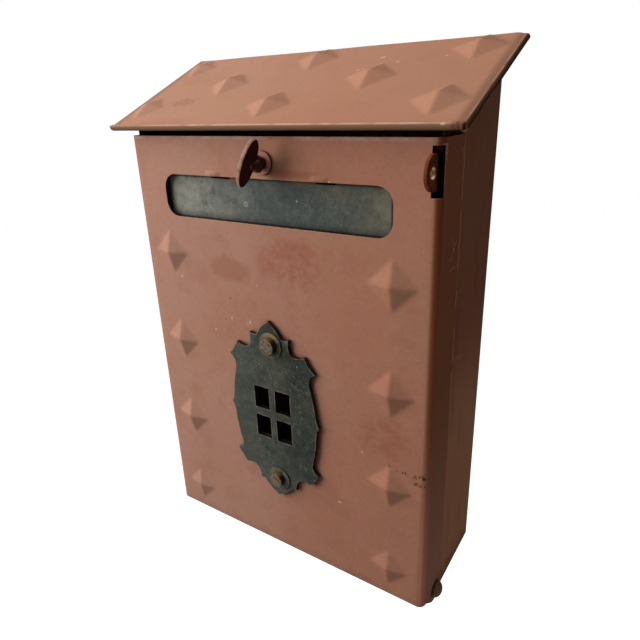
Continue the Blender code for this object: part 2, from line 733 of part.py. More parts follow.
# Latch
def make_latch():
    """A thumb-turn through the door with a collar in front and a sprung cam behind."""
    shank = 3.0 * MM
    square = 2.2 * MM
    thread = 1.9 * MM
    cam_front = BODY_FRONT + HEADER_THICKNESS + GAP
    cam_thickness = 2.0 * MM
    nut_thickness = 2.8 * MM
    nut_front = cam_front + cam_thickness + GAP
    make_knob(shank, square, thread, cam_front - DOOR_FRONT, nut_front - DOOR_FRONT,
              nut_front + nut_thickness + 1.2 * MM - DOOR_FRONT)
    make_collar(shank)
    make_cup_spring(cam_front, shank)
    reach = (CAM_REACH - 4.0 * MM, 0.0)
    outline = arc(reach, 4.0 * MM, -90.0, 90.0, 10) + arc((0.0, 0.0), 4.0 * MM, 90.0, 270.0, 10)
    hole = rectangle((0.0, 0.0), (2 * square + GAP * 2, 2 * square + GAP * 2))
    cam = cut_out("latch_cam", [outline, hole], cam_thickness, STEEL)
    hang(cam, LATCH_AXIS, (LATCH_X, cam_front + cam_thickness / 2, LATCH_Z),
         (math.radians(90.0), LATCH_TILT, 0.0))
    hexagon = [circle((0.0, 0.0), 4.1 * MM, 6), circle((0.0, 0.0), thread + GAP, 18)]
    nut = cut_out("latch_nut", hexagon, nut_thickness, STEEL)
    hang(nut, LATCH_AXIS, (LATCH_X, nut_front + nut_thickness / 2, LATCH_Z), FACING)


def make_knob(shank, square, thread, cam_at, nut_at, end):
    """Neck on a thinner stem, oval thumb plate in front of it, and the stepped spindle behind."""
    stem = 3.9 * MM
    stem_back = COLLAR_THICKNESS + 2 * GAP
    profile = [(0.0, 14.0 * MM), (2.4 * MM, 13.5 * MM), (3.4 * MM, 10.6 * MM),
               (4.6 * MM, 8.4 * MM), (5.5 * MM, 7.0 * MM), (5.5 * MM, NECK_BACK), (stem, NECK_BACK),
               (stem, stem_back), (shank, stem_back), (shank, -cam_at + GAP), (0.0, -cam_at + GAP)]
    knob = turned("latch_knob", profile, IRON)
    hang(knob, LATCH_AXIS, (LATCH_X, DOOR_FRONT, LATCH_Z), FACING)
    long, short = THUMB_PLATE_HALF
    oval = [(long * math.cos(a), short * math.sin(a))
            for a in (math.radians(9.0 * i) for i in range(40))]
    plate = cut_out("thumb_plate", [oval], THUMB_PLATE_THICKNESS, None, 0.8 * MM)
    hang(plate, None, (LATCH_X + 0.1 * MM, DOOR_FRONT - THUMB_PLATE_OUT, LATCH_Z + 1.2 * MM),
         (0.0, LATCH_TILT - math.radians(90.0), 0.0))
    boolean(knob, plate, 'UNION')
    key = prism("spindle_square", [(-GAP, -square), (nut_at, -square), (nut_at, square),
                                   (-GAP, square)], (-square, square))
    hang(key, None, (LATCH_X, DOOR_FRONT, LATCH_Z), (0.0, LATCH_TILT, 0.0))
    boolean(knob, key, 'UNION')
    tip = turned("spindle_thread", [(0.0, 0.0), (thread, 0.0), (thread, -end + 0.5 * MM),
                                    (thread - 0.5 * MM, -end), (0.0, -end)], None, 18)
    hang(tip, None, (LATCH_X, DOOR_FRONT, LATCH_Z), FACING)
    boolean(knob, tip, 'UNION')


def make_collar(shank):
    ring = [circle((0.0, 0.0), COLLAR_RADIUS, 32), circle((0.0, 0.0), shank + GAP, 24)]
    collar = cut_out("latch_collar", ring, COLLAR_THICKNESS, IRON, 0.3 * MM)
    hang(collar, DOOR_AXIS, (LATCH_X, DOOR_FRONT - GAP - COLLAR_THICKNESS / 2, LATCH_Z), FACING)


def make_cup_spring(cam_front, shank):
    """A cupped washer pressed between the door and the cam."""
    height = cam_front - GAP - (DOOR_FRONT + SHEET + GAP)
    wall = 0.8 * MM
    inner = shank + GAP
    outer = 6.6 * MM
    profile = [(inner, height), (inner + wall, height), (outer, wall), (outer, 0.0),
               (outer - wall, 0.0), (inner, height - wall), (inner, height)]
    spring = turned("latch_cup_spring", profile, STEEL, 24)
    hang(spring, DOOR_AXIS, (LATCH_X, DOOR_FRONT + SHEET + GAP, LATCH_Z),
         (math.radians(-90.0), 0.0, 0.0))


# Flap
def make_flap():
    """The galvanised flap behind the slot: two knuckles on its wire, a notch beside each one."""
    left, right = -96.5 * MM, 97.0 * MM
    front = FLAP_AXIS_Y + FLAP_WIRE + 0.4 * MM
    top = FLAP_AXIS_Z - FLAP_WIRE - GAP
    low = 258.5 * MM
    flap = block("mail_flap", (left, right), (front, front + FLAP_SHEET), (low, top), ZINC)
    flap.data.transform(Matrix.Translation((0.0, -FLAP_AXIS_Y, -FLAP_AXIS_Z)))
    flap.parent = FLAP_AXIS
    lip = block("flap_lip", (left, right), (front, front + 4.0 * MM), (low, low + FLAP_SHEET))
    boolean(flap, lip, 'UNION')
    inner = FLAP_WIRE + GAP
    outer = inner + FLAP_SHEET
    for notch in FLAP_NOTCHES:
        bite = block("flap_notch", notch, (front - 2.0 * MM, front + 2.0 * MM),
                     (291.0 * MM, top + 1.0 * MM))
        boolean(flap, bite)
    half = KNUCKLE_WIDTH / 2
    for x in KNUCKLE_X:
        tab = block("flap_tab", (x - half, x + half), (front, front + FLAP_SHEET),
                    (top - 2.0 * MM, FLAP_AXIS_Z))
        boolean(flap, tab, 'UNION')
        loops = [circle((0.0, 0.0), outer, 24), circle((0.0, 0.0), inner, 24)]
        knuckle = cut_out("flap_knuckle", loops, KNUCKLE_WIDTH)
        hang(knuckle, None, (x, FLAP_AXIS_Y, FLAP_AXIS_Z), SIDEWAYS)
        boolean(flap, knuckle, 'UNION')


def make_flap_wire():
    """The straight hinge wire and the two saddle clips that hold its ends to the door."""
    wire = turned("flap_wire", [(0.0, 105.0 * MM), (FLAP_WIRE, 105.0 * MM),
                                (FLAP_WIRE, -105.0 * MM), (0.0, -105.0 * MM)], STEEL, 16)
    hang(wire, DOOR_AXIS, (1.5 * MM, FLAP_AXIS_Y, FLAP_AXIS_Z), (0.0, math.radians(90.0), 0.0))
    inner = FLAP_WIRE + GAP
    outer = inner + 0.8 * MM
    foot = DOOR_FRONT + SHEET + GAP - FLAP_AXIS_Y
    top = foot + 0.8 * MM
    spread = 5.5 * MM
    bend = math.degrees(math.asin(-top / outer))
    outline = ([(foot, -spread), (top, -spread)]
               + arc((0.0, 0.0), outer, -90.0 - bend, 90.0 + bend, 14)
               + [(top, spread), (foot, spread), (foot, inner)]
               + arc((0.0, 0.0), inner, 90.0, -90.0, 12)
               + [(foot, -inner)])
    for word, x in (("left", -100.0 * MM), ("right", 103.0 * MM)):
        clip = cut_out("flap_clip_" + word, [outline], 5.0 * MM, STEEL)
        hang(clip, DOOR_AXIS, (x, FLAP_AXIS_Y, FLAP_AXIS_Z), SIDEWAYS)


make_body_shell()
make_floor_panel()
make_roof_panel()
make_header_strip()
make_hasp_ear()
make_hasp_rivets()
make_hinges()
make_door_panel()
make_crest()
make_crest_studs()
make_latch()
make_flap()
make_flap_wire()
bpy.context.view_layer.update()
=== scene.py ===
"""Finish of a weathered wall letter box: dented and embossed paint, worn metal, light and camera.

Lengths are millimetres unless a name or a comment says metres. The frame is the part's own: the back
lies on Y = 0, the door faces -Y, X = 0 is the middle and Z = 0 the door's bottom edge.
"""
import math

import bmesh
import bpy
import numpy as np
from mathutils import Matrix, Vector, noise


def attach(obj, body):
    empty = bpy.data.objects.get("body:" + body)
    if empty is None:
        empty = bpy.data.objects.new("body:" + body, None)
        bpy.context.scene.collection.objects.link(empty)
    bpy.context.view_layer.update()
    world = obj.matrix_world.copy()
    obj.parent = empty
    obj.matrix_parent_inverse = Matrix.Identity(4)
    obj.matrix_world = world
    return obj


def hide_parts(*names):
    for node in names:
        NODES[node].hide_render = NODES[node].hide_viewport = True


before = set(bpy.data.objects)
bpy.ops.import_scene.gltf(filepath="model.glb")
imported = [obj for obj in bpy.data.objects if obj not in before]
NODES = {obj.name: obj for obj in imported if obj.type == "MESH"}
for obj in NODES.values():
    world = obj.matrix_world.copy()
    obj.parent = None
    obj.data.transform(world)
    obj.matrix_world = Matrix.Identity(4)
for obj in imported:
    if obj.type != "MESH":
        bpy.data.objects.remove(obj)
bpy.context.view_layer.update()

MM = 0.001

# Sheet work, as the frame has it
SHEET = 1.0
FRONT = -96.0
DOOR_HALF = 120.0
DOOR_HEIGHT = 318.5
DOOR_FLANGE = 30.0
BEND = 5.5
HINGE = (-75.0, 1.2)
LUG_RADIUS = 10.5
PYRAMID_HALF = 16.2
PYRAMID_RISE = 5.0
DOOR_PYRAMIDS = [(x, z, *((0.9, 0.65) if z < 30.0 else (1.0, 0.88))) for x in (-91.6, 92.0)
                 for z in (24.6, 94.8, 165.0, 236.0)]
SLOT_CENTRE = (1.1, 278.1)
SLOT_SIZE = (181.6, 29.6)
SLOT_RADIUS = 10.5
LANCES = (-42.1, 43.4)
LANCE_AXIS = (FRONT + 1.1, 294.4)
LANCE_RADIUS = 2.4
LANCE_HALF = 6.75
WINDOW_CENTRE = (-1.8, 123.1)
WINDOW_PITCH = (18.9, 24.3)
WINDOW_HALF = (7.75, 10.0)
STUDS = ((0.5, 68.5), (0.5, 180.0))
LATCH = (2.0, 302.9)
LATCH_TILT = math.radians(26.0)
HASP_SLOT = ((116.45, 301.25), (2.95, 13.35))

ROOF_HALF = 132.4
ROOF_EDGE = (FRONT - 6.2, 324.2)
ROOF_PITCH = math.radians(25.3)
ROOF_LENGTH = 108.6
RIM = 2.0
ROOF_TURN_DOWN = 0.9
ROOF_PYRAMID_HALF = 17.0
ROOF_PYRAMIDS = ([(x, s, *((0.9, 0.7) if x < -100.0 else (1.0, 0.95)))
                  for x in (-118.5, -6.0, 108.6) for s in (27.8, 92.6)]
                 + [(x, 60.6, 1.0, 0.95) for x in (-63.3, 51.3)])


def rgb(red, green, blue):
    """A colour given as 0 to 255 on a screen, in the shader's own linear scale."""
    return tuple(((c / 255 + 0.055) / 1.055) ** 2.4 for c in (red, green, blue))


# Meshes
def grid_lines(low, high, pitch, finer=()):
    """Positions from low to high at about pitch, and closer in the finer stretches."""
    marks = list(np.linspace(low, high, max(2, round((high - low) / pitch) + 1)))
    for start, end, step in finer:
        marks = [m for m in marks if m <= start - 0.6 * step or m >= end + 0.6 * step]
        marks += list(np.arange(start, end + step / 2, step))
    inner = sorted(m for m in marks if low + 0.25 < m < high - 0.25)
    return np.array([low, *inner, high])


def pyramid_stretches(centres, half):
    """Finer stretches whose lines fall on each pyramid's point and on its corners."""
    step = half / 13
    return [(centre - half - step, centre + half + step, step) for centre in sorted(set(centres))]


def grid_mesh(name, across, along, surface):
    """A sheet of quads whose points are surface(u, v), in millimetres."""
    u, v = np.meshgrid(across, along)
    points = surface(u.ravel(), v.ravel()) * MM
    wide, tall = len(across), len(along)
    corner = (np.arange(tall - 1)[:, None] * wide + np.arange(wide - 1)[None, :]).ravel()
    faces = np.stack([corner, corner + 1, corner + wide + 1, corner + wide], axis=1)
    mesh = bpy.data.meshes.new(name)
    mesh.from_pydata(points.tolist(), [], faces.tolist())
    return linked(name, mesh)


def linked(name, mesh):
    item = bpy.data.objects.new(name, mesh)
    bpy.context.scene.collection.objects.link(item)
    return item


def add_prism(bm, loop, low, high, axis):
    """A closed prism of an outline, between two heights along X or Y."""
    def at(point, height):
        return (height, *point) if axis == 'X' else (point[0], height, point[1])
    near = [bm.verts.new(Vector(at(p, low)) * MM) for p in loop]
    far = [bm.verts.new(Vector(at(p, high)) * MM) for p in loop]
    bm.faces.new(near)
    bm.faces.new(far)
    for i in range(len(loop)):
        j = (i + 1) % len(loop)
        bm.faces.new((near[i], near[j], far[j], far[i]))


def arc(centre, radius, start, end, steps):
    """Points on a circle from one angle to another, in degrees, both ends included."""
    turns = np.radians(np.linspace(start, end, steps + 1))
    return [(centre[0] + radius * math.cos(a), centre[1] + radius * math.sin(a)) for a in turns]


def circle(centre, radius, steps=36):
    return arc(centre, radius, 0.0, 360.0, steps)[:-1]


def rectangle(centre, half):
    x, z = centre
    w, h = half
    return [(x - w, z - h), (x + w, z - h), (x + w, z + h), (x - w, z + h)]


def rounded_rectangle(centre, size, radius, steps=10):
    points = []
    for turn, (sx, sz) in enumerate(((1, 1), (-1, 1), (-1, -1), (1, -1))):
        corner = (centre[0] + sx * (size[0] / 2 - radius), centre[1] + sz * (size[1] / 2 - radius))
        points += arc(corner, radius, 90.0 * turn, 90.0 * turn + 90.0, steps)
    return points


def prisms(name, shapes):
    bm = bmesh.new()
    for loop, low, high, axis in shapes:
        add_prism(bm, loop, low, high, axis)
    bmesh.ops.recalc_face_normals(bm, faces=bm.faces[:])
    mesh = bpy.data.meshes.new(name)
    bm.to_mesh(mesh)
    bm.free()
    return linked(name, mesh)


def thicken(item):
    """Gives a sheet its thickness behind its face."""
    solid = item.modifiers.new("thickness", 'SOLIDIFY')
    solid.thickness = SHEET * MM
    solid.offset = -1.0
    solid.use_even_offset = True


def combine(item, other, operation):
    cut = item.modifiers.new(operation.lower(), 'BOOLEAN')
    cut.operation = operation
    cut.solver = 'EXACT'
    cut.object = other


def made_real(item, name, tools=(), sharp=32.0):
    """The item with its modifiers applied, smooth but for its sharp edges; the tools go."""
    bpy.context.view_layer.update()
    evaluated = item.evaluated_get(bpy.context.evaluated_depsgraph_get())
    mesh = bpy.data.meshes.new_from_object(evaluated)
    mesh.name = name
    for old in (item, *tools):
        bpy.data.objects.remove(old, do_unlink=True)
    mesh.shade_smooth()
    mesh.set_sharp_from_angle(angle=math.radians(sharp))
    return linked(name, mesh)


# Height fields, in millimetres over flat sheet
def smooth_step(value, low, high):
    t = np.clip((value - low) / (high - low), 0.0, 1.0)
    return t * t * (3.0 - 2.0 * t)


def pyramid_heights(u, v, places, half, rise):
    """Pressed pyramids with corners along both axes, soft at the ridges and at the foot."""
    ridge, foot = 0.3, 0.02
    height = np.zeros_like(u)
    for x, y, scale, lift in places:
        dx = np.sqrt((u - x) ** 2 + ridge ** 2) - ridge
        dy = np.sqrt((v - y) ** 2 + ridge ** 2) - ridge
        t = 1.0 - (dx + dy) / (half * scale)
        height += rise * lift * 0.5 * (t + np.sqrt(t * t + foot ** 2))
    return height


def sway(u, v, reach, depth, seed):
    """Slow waves of a sheet that has been knocked about, from 0 to depth."""
    waves = [noise.noise(Vector((a / reach, b / reach, seed))) for a, b in zip(u, v)]
    return depth * (0.5 + 0.5 * np.clip(np.array(waves) * 1.6, -1.0, 1.0))


def lance_heights(x, z):
    """Half-round bulges on the slot's top edge."""
    height = np.zeros_like(x)
    rise = np.sqrt(np.maximum(LANCE_RADIUS ** 2 - (z - LANCE_AXIS[1]) ** 2, 0.0))
    rise = np.maximum(rise - (LANCE_AXIS[0] - FRONT), 0.0)
    for centre in LANCES:
        height += rise * (1.0 - smooth_step(np.abs(x - centre), LANCE_HALF - 4.5, LANCE_HALF + 0.6))
    return height


# Door
def door_foot(y):
    """How far the bottom edge lies above Z = 0 at a depth y: down a straight run, then round the hinge."""
    toe = Vector((FRONT + BEND - HINGE[0], 0.5 - HINGE[1]))
    towards_toe = math.pi + math.atan(toe.y / toe.x)
    tangent = towards_toe + math.acos(LUG_RADIUS / toe.length)
    meet = Vector((math.cos(tangent), math.sin(tangent))) * LUG_RADIUS
    slope = (meet.y - toe.y) / (meet.x - toe.x)
    ahead = y - HINGE[0]
    bend = 0.5 * smooth_step(ahead, toe.x - BEND, toe.x)
    run = toe.y + HINGE[1] + slope * (ahead - toe.x)
    lug = HINGE[1] - np.sqrt(np.maximum(LUG_RADIUS ** 2 - ahead ** 2, 0.0))
    return np.where(ahead < toe.x, bend, np.where(ahead < meet.x, run, lug))


def door_surface(u, z):
    """The door's outer face: u runs round it, from one flange across the front to the other."""
    flat = DOOR_HALF - BEND
    quarter = BEND * math.pi / 2
    a = np.abs(u)
    turn = np.clip((a - flat) / BEND, 0.0, math.pi / 2)
    back = np.maximum(a - flat - quarter, 0.0)
    x = np.minimum(a, flat) + BEND * np.sin(turn)
    y = FRONT + BEND * (1.0 - np.cos(turn)) + back
    proud = pyramid_heights(u, z, DOOR_PYRAMIDS, PYRAMID_HALF, PYRAMID_RISE) + lance_heights(u, z)
    calm = smooth_step(z, 0.0, 25.0) * smooth_step(DOOR_HEIGHT - z, 0.0, 20.0)
    calm *= 1.0 - smooth_step(a, 95.0, flat)
    proud = np.where(a < flat, proud + (sway(u, z, 70.0, 0.5, 3.0) - 0.25) * calm, 0.0)
    corner = 3.5
    past = np.clip(corner - (DOOR_FLANGE - BEND - back), 0.0, corner)
    drop = corner - np.sqrt(np.maximum(corner ** 2 - past ** 2, 0.0))
    z = z - drop * smooth_step(z, DOOR_HEIGHT - 9.0, DOOR_HEIGHT)
    z = z + door_foot(y) * (1.0 - smooth_step(z, 0.0, 30.0))
    return np.stack([np.sign(u) * x, y - proud, z], axis=1)


def make_door_skin():
    reach = DOOR_HALF - BEND + BEND * math.pi / 2 + DOOR_FLANGE - BEND
    side = (DOOR_HALF - BEND, reach, 0.9)
    ends = [(x + side * LANCE_HALF - 1.4, x + side * LANCE_HALF + 1.4, 0.4)
            for x in LANCES for side in (-1, 1)]
    across = grid_lines(-reach, reach, 3.0, [side, (-side[1], -side[0], 0.9), *ends,
                                             *pyramid_stretches([p[0] for p in DOOR_PYRAMIDS], PYRAMID_HALF)])
    along = grid_lines(0.0, DOOR_HEIGHT, 3.0, [(0.0, 3.0, 1.0), *pyramid_stretches([p[1] for p in DOOR_PYRAMIDS], PYRAMID_HALF),
                                               (291.2, 297.6, 0.4)])
    door = grid_mesh("door_sheet", across, along, door_surface)
    thicken(door)
    front, back = FRONT - 8.0, FRONT + 8.0
    cuts = [(rounded_rectangle(SLOT_CENTRE, SLOT_SIZE, SLOT_RADIUS), front, back, 'Y')]
    for sx in (-0.5, 0.5):
        for sz in (-0.5, 0.5):
            place = (WINDOW_CENTRE[0] + sx * WINDOW_PITCH[0], WINDOW_CENTRE[1] + sz * WINDOW_PITCH[1])
            cuts.append((rectangle(place, WINDOW_HALF), front, back, 'Y'))
    cuts += [(circle(place, 2.9), front, back, 'Y') for place in STUDS]
    cuts.append((circle(LATCH, 3.4), front, back, 'Y'))
    cuts.append((circle(HINGE, 2.9), -130.0, 130.0, 'X'))
    cuts.append((rectangle(*HASP_SLOT), FRONT - 2.0, FRONT + 4.5, 'Y'))
    cutters = prisms("door_cuts", cuts)
    combine(door, cutters, 'DIFFERENCE')
    return made_real(door, "door_skin", [cutters])


# Roof
def roof_point(x, s, n):
    """A point s up the slope and n off the sheet's middle, in the part's frame."""
    y = ROOF_EDGE[0] + s * math.cos(ROOF_PITCH) - n * math.sin(ROOF_PITCH)
    z = ROOF_EDGE[1] + s * math.sin(ROOF_PITCH) + n * math.cos(ROOF_PITCH)
    return np.stack([x, y, z], axis=-1)


def roof_surface(x, s):
    """The roof's upper face, which turns up into the rolled rim at the front."""
    to_rim = np.minimum(s, ROOF_HALF - RIM - np.abs(x))
    upturn = 1.0 * (1.0 - smooth_step(s, 1.3, 4.0))
    proud = pyramid_heights(x, s, ROOF_PYRAMIDS, ROOF_PYRAMID_HALF, PYRAMID_RISE)
    proud *= smooth_step(to_rim, 0.2, 7.0)
    sink = sway(x, s, 60.0, 0.35, 11.0) * smooth_step(to_rim, 1.0, 15.0)
    sink += ROOF_TURN_DOWN * (1.0 - smooth_step(ROOF_HALF - RIM - x, 0.0, 5.5)) * smooth_step(s, 1.3, 6.0)
    return roof_point(x, s, SHEET / 2 + upturn + proud - sink)


def rim_loop(start):
    """A rolled edge in section, from the angle at which the sheet runs into it round to its end."""
    end = start + 297.0
    outer = arc((0.0, 0.0), RIM, start, end, 26)
    inner = arc((0.0, 0.0), RIM - SHEET * 0.85, end, start, 18)
    return outer + inner


def make_rim(name, loop, stations, place, seed, rounding=(0.0, 0.0)):
    """A rim swept along its stations, uneven as from hand rolling, its ends rounded up if asked."""
    bm = bmesh.new()
    rings = []
    for t in stations:
        swell = 1.0 + 0.05 * noise.noise(Vector((t / 22.0, seed, 0.0)))
        for depth, reach in zip((t - stations[0], stations[-1] - t), rounding):
            if depth < reach:
                swell *= math.sqrt(max(0.08, 1.0 - (1.0 - depth / reach) ** 2))
        lift = 0.12 * noise.noise(Vector((t / 35.0, seed, 5.0)))
        swell = min(swell, 1.0)
        points = [(a * swell, n * swell + (1.0 - swell) * RIM * 0.7 + lift) for a, n in loop]
        rings.append([bm.verts.new(Vector(place(t, a, n)) * MM) for a, n in points])
    for ring, following in zip(rings, rings[1:]):
        for i in range(len(loop)):
            j = (i + 1) % len(loop)
            bm.faces.new((ring[i], ring[j], following[j], following[i]))
    bm.faces.new(rings[0])
    bm.faces.new(rings[-1])
    bmesh.ops.recalc_face_normals(bm, faces=bm.faces[:])
    mesh = bpy.data.meshes.new(name)
    bm.to_mesh(mesh)
    bm.free()
    return linked(name, mesh)


def make_roof_skin():
    """The front edge is rolled about the sheet's own plane, and the sides are rolled under it."""
    inner = ROOF_HALF - RIM
    lap = RIM - 0.7
    left, right = -ROOF_HALF + 0.25, inner + 0.15
    across = pyramid_stretches([p[0] for p in ROOF_PYRAMIDS], ROOF_PYRAMID_HALF)
    across = grid_lines(left, right, 2.5, [*across, (right - 4.0, right, 0.5), (left, left + 4.0, 0.5)])
    along = pyramid_stretches([p[1] for p in ROOF_PYRAMIDS], ROOF_PYRAMID_HALF)
    along = grid_lines(lap, ROOF_LENGTH, 2.5, [*along, (lap, 5.0, 0.5)])
    roof = grid_mesh("roof_sheet", across, along, roof_surface)
    thicken(roof)
    ends = [(-ROOF_HALF, -ROOF_HALF + 3.0, 0.3), (ROOF_HALF - 1.5, ROOF_HALF, 0.3)]
    rims = [make_rim("front_rim", rim_loop(-5.0), grid_lines(-ROOF_HALF, ROOF_HALF, 3.0, ends),
                     roof_point, 1.0, (3.0, 1.2))]
    for sign, seed, low in ((-1.0, 2.0, 0.1), (1.0, 3.0, ROOF_TURN_DOWN)):
        rims.append(make_rim("side_rim", rim_loop(84.0), grid_lines(RIM + 0.5, ROOF_LENGTH, 3.0),
                             lambda t, a, n: roof_point(sign * (inner - a), t, n + SHEET / 2 - RIM - low), seed))
    for rim in rims:
        combine(roof, rim, 'UNION')
    return made_real(roof, "roof_skin", rims, 40.0)


# Materials
class Paint:
    """A material's node tree in short calls. Its lengths are millimetres, its place is the part's."""

    def __init__(self, name, roughness=0.6, metallic=0.0, specular=0.15):
        self.material = bpy.data.materials.new(name)
        self.material.use_nodes = True
        self.tree = self.material.node_tree
        self.shader = self.tree.nodes["Principled BSDF"]
        self.shader.inputs["Roughness"].default_value = roughness
        self.shader.inputs["Metallic"].default_value = metallic
        self.shader.inputs["Specular IOR Level"].default_value = specular
        where = self.tree.nodes.new("ShaderNodeTexCoord")
        self.place = self.vector('SCALE', where.outputs["Object"], Scale=1.0 / MM)
        self.x, self.y, self.z = self.parts(self.place)
        self.nx, self.ny, self.nz = self.parts(where.outputs["Normal"])

    def node(self, kind, inputs=(), **settings):
        made = self.tree.nodes.new("ShaderNode" + kind)
        for key, value in settings.items():
            setattr(made, key, value)
        for key, value in dict(inputs).items():
            socket = made.inputs[key]
            if isinstance(value, bpy.types.NodeSocket):
                self.tree.links.new(value, socket)
            elif socket.type == 'RGBA':
                socket.default_value = (*value, 1.0)
            else:
                socket.default_value = value
        return made

    def parts(self, vector):
        made = self.node("SeparateXYZ", {0: vector})
        return made.outputs[0], made.outputs[1], made.outputs[2]

    def math(self, operation, a, b=0.0):
        return self.node("Math", {0: a, 1: b}, operation=operation).outputs[0]

    def vector(self, operation, a, b=(0.0, 0.0, 0.0), **named):
        made = self.node("VectorMath", {0: a, 1: b, **named}, operation=operation)
        scalar = operation in ('LENGTH', 'DOT_PRODUCT', 'DISTANCE')
        return made.outputs["Value" if scalar else "Vector"]

    def product(self, first, *others):
        for other in others:
            first = self.math('MULTIPLY', first, other)
        return first

    def most(self, first, *others):
        for other in others:
            first = self.math('MAXIMUM', first, other)
        return first

    def step(self, value, low, high):
        """0 at low, 1 at high, easing between; low may be the larger."""
        if low > high:
            return self.math('SUBTRACT', 1.0, self.step(value, high, low))
        made = self.node("MapRange", {"Value": value, "From Min": low, "From Max": high},
                         interpolation_type='SMOOTHSTEP')
        return made.outputs[0]

    def band(self, value, low, high, soft):
        return self.product(self.step(value, low - soft, low + soft),
                            self.step(value, high + soft, high - soft))

    def noise(self, size, detail=3.0, rough=0.55, shift=0.0, stretch=(1.0, 1.0, 1.0)):
        at = self.node("Mapping", {"Vector": self.place, "Location": (shift, 1.7 * shift, 0.6 * shift),
                                   "Scale": stretch}).outputs[0]
        return self.node("TexNoise", {"Vector": at, "Scale": 1.0 / size, "Detail": detail,
                                      "Roughness": rough}).outputs[0]

    def cells(self, size, shift=0.0):
        """Distance to the nearest of scattered points, in cell widths, and that cell's own number."""
        at = self.vector('ADD', self.place, (shift, shift, shift))
        made = self.node("TexVoronoi", {"Vector": at, "Scale": 1.0 / size})
        return made.outputs["Distance"], self.parts(made.outputs["Color"])[0]

    def specks(self, size, radius, share, shift=0.0):
        """Scattered small marks: about radius across in cells of size, in a share of the cells."""
        away, number = self.cells(size, shift)
        wobble = self.math('ADD', away, self.math('MULTIPLY', self.noise(radius, 2, 0.6, shift), 0.8 * radius / size))
        dot = self.step(wobble, 1.35 * radius / size, 0.85 * radius / size)
        return self.product(dot, self.step(number, 1.0 - share, 1.0 - share + 0.02))

    def mix(self, share, a, b, mode='MIX'):
        made = self.node("Mix", {0: share, 6: a, 7: b}, data_type='RGBA', blend_type=mode)
        return made.outputs[2]

    def spots(self, places, soft=0.3, ragged=0.0, grain=6.0, shift=0.0):
        """1 inside any of the ellipsoids (centre, half sizes), 0 outside, with ragged edges."""
        nearest = None
        for centre, half in places:
            gap = self.vector('DIVIDE', self.vector('SUBTRACT', self.place, centre), half)
            away = self.vector('LENGTH', gap)
            nearest = away if nearest is None else self.math('MINIMUM', nearest, away)
        if ragged:
            rough = self.math('SUBTRACT', self.noise(grain, 4, 0.6, shift), 0.5)
            nearest = self.math('ADD', nearest, self.math('MULTIPLY', rough, ragged))
        return self.step(nearest, 1.0 + soft, 1.0 - soft)

    def scratches(self, runs, width):
        """Thin straight marks between pairs of points."""
        best = None
        for start, end in runs:
            run = Vector(end) - Vector(start)
            along = self.vector('DOT_PRODUCT', self.vector('SUBTRACT', self.place, start),
                                tuple(run / run.length_squared))
            foot = self.vector('SCALE', tuple(run), Scale=self.node("Clamp", {0: along}).outputs[0])
            away = self.vector('DISTANCE', self.place, self.vector('ADD', foot, start))
            best = away if best is None else self.math('MINIMUM', best, away)
        return self.step(best, width * 0.75, width * 0.25)

    def edges(self, radius, low=0.03, high=0.25):
        """1 on the piece's edges, from how far a rounded normal leans off the true one."""
        bevelled = self.node("Bevel", {"Radius": radius * MM}, samples=6).outputs[0]
        true = self.node("NewGeometry").outputs["Normal"]
        lean = self.math('SUBTRACT', 1.0, self.vector('DOT_PRODUCT', bevelled, true))
        return self.step(lean, low, high)

    def crevice_shade(self, reach, low=0.9, high=0.35):
        """1 in corners and hard by other pieces, fading to 0 within reach of them: where the paints darken, as
        painted shade.
        """
        open_share = self.node("AmbientOcclusion", {"Distance": reach * MM}, samples=8).outputs["AO"]
        return self.step(open_share, low, high)

    def within(self, low, high, soft):
        """1 inside a box of the part's frame, between its lowest and highest corners."""
        return self.product(*[self.band(value, a, b, soft)
                              for value, a, b in zip((self.x, self.y, self.z), low, high)])

    def bump(self, height, depth, under=None):
        inputs = {"Height": height, "Distance": depth * MM, "Strength": 1.0}
        if under is not None:
            inputs["Normal"] = under
        return self.node("Bump", inputs).outputs[0]

    def finish(self, colour, roughness=None, normal=None, metallic=None):
        pairs = (("Base Color", colour), ("Roughness", roughness), ("Normal", normal),
                 ("Metallic", metallic))
        for name, value in pairs:
            if value is not None:
                self.tree.links.new(value, self.shader.inputs[name])
        return self.material


ORANGE = rgb(156, 108, 88)
PINK = rgb(162, 121, 105)
TAN = rgb(158, 118, 94)
RED_BROWN = rgb(140, 90, 72)
SIDE_BROWN = rgb(152, 95, 72)
CHIP = rgb(204, 168, 146)
DARK_PIT = rgb(40, 20, 14)
RUST = rgb(120, 66, 36)
RUST_DARK = rgb(66, 36, 24)


def copper_paint(p, spread=1.0):
    """The base of all the copper-brown enamel: hue drift, clouds, fine mottle. Colour and height. The drift to paler
    pink at the left is partly faded paint and partly a painted sheen.
    """
    # Paler pink towards the left: partly faded paint, partly a painted sheen from the light on that side.
    drift = p.math('ADD', p.x, p.math('MULTIPLY', p.math('SUBTRACT', p.noise(95, 2, 0.5), 0.5), 260.0))
    warm = p.mix(p.step(drift, -90.0, 90.0), PINK, ORANGE)
    tan = p.step(p.noise(60, 3, 0.5, 300.0), 0.45, 0.68)
    warm = p.mix(p.math('MULTIPLY', tan, 0.4 * spread), warm, TAN)
    cloud = p.step(p.noise(26, 5, 0.6, 40.0), 0.46, 0.74)
    warm = p.mix(p.math('MULTIPLY', cloud, 0.3 * spread), warm, RED_BROWN)
    mottle = p.noise(2.6, 4, 0.7, 80.0)
    shade = p.node("MapRange", {"Value": mottle, "From Min": 0.3, "From Max": 0.7,
                                "To Min": 0.93, "To Max": 1.05}).outputs[0]
    colour = p.vector('SCALE', warm, Scale=shade)
    return colour, mottle


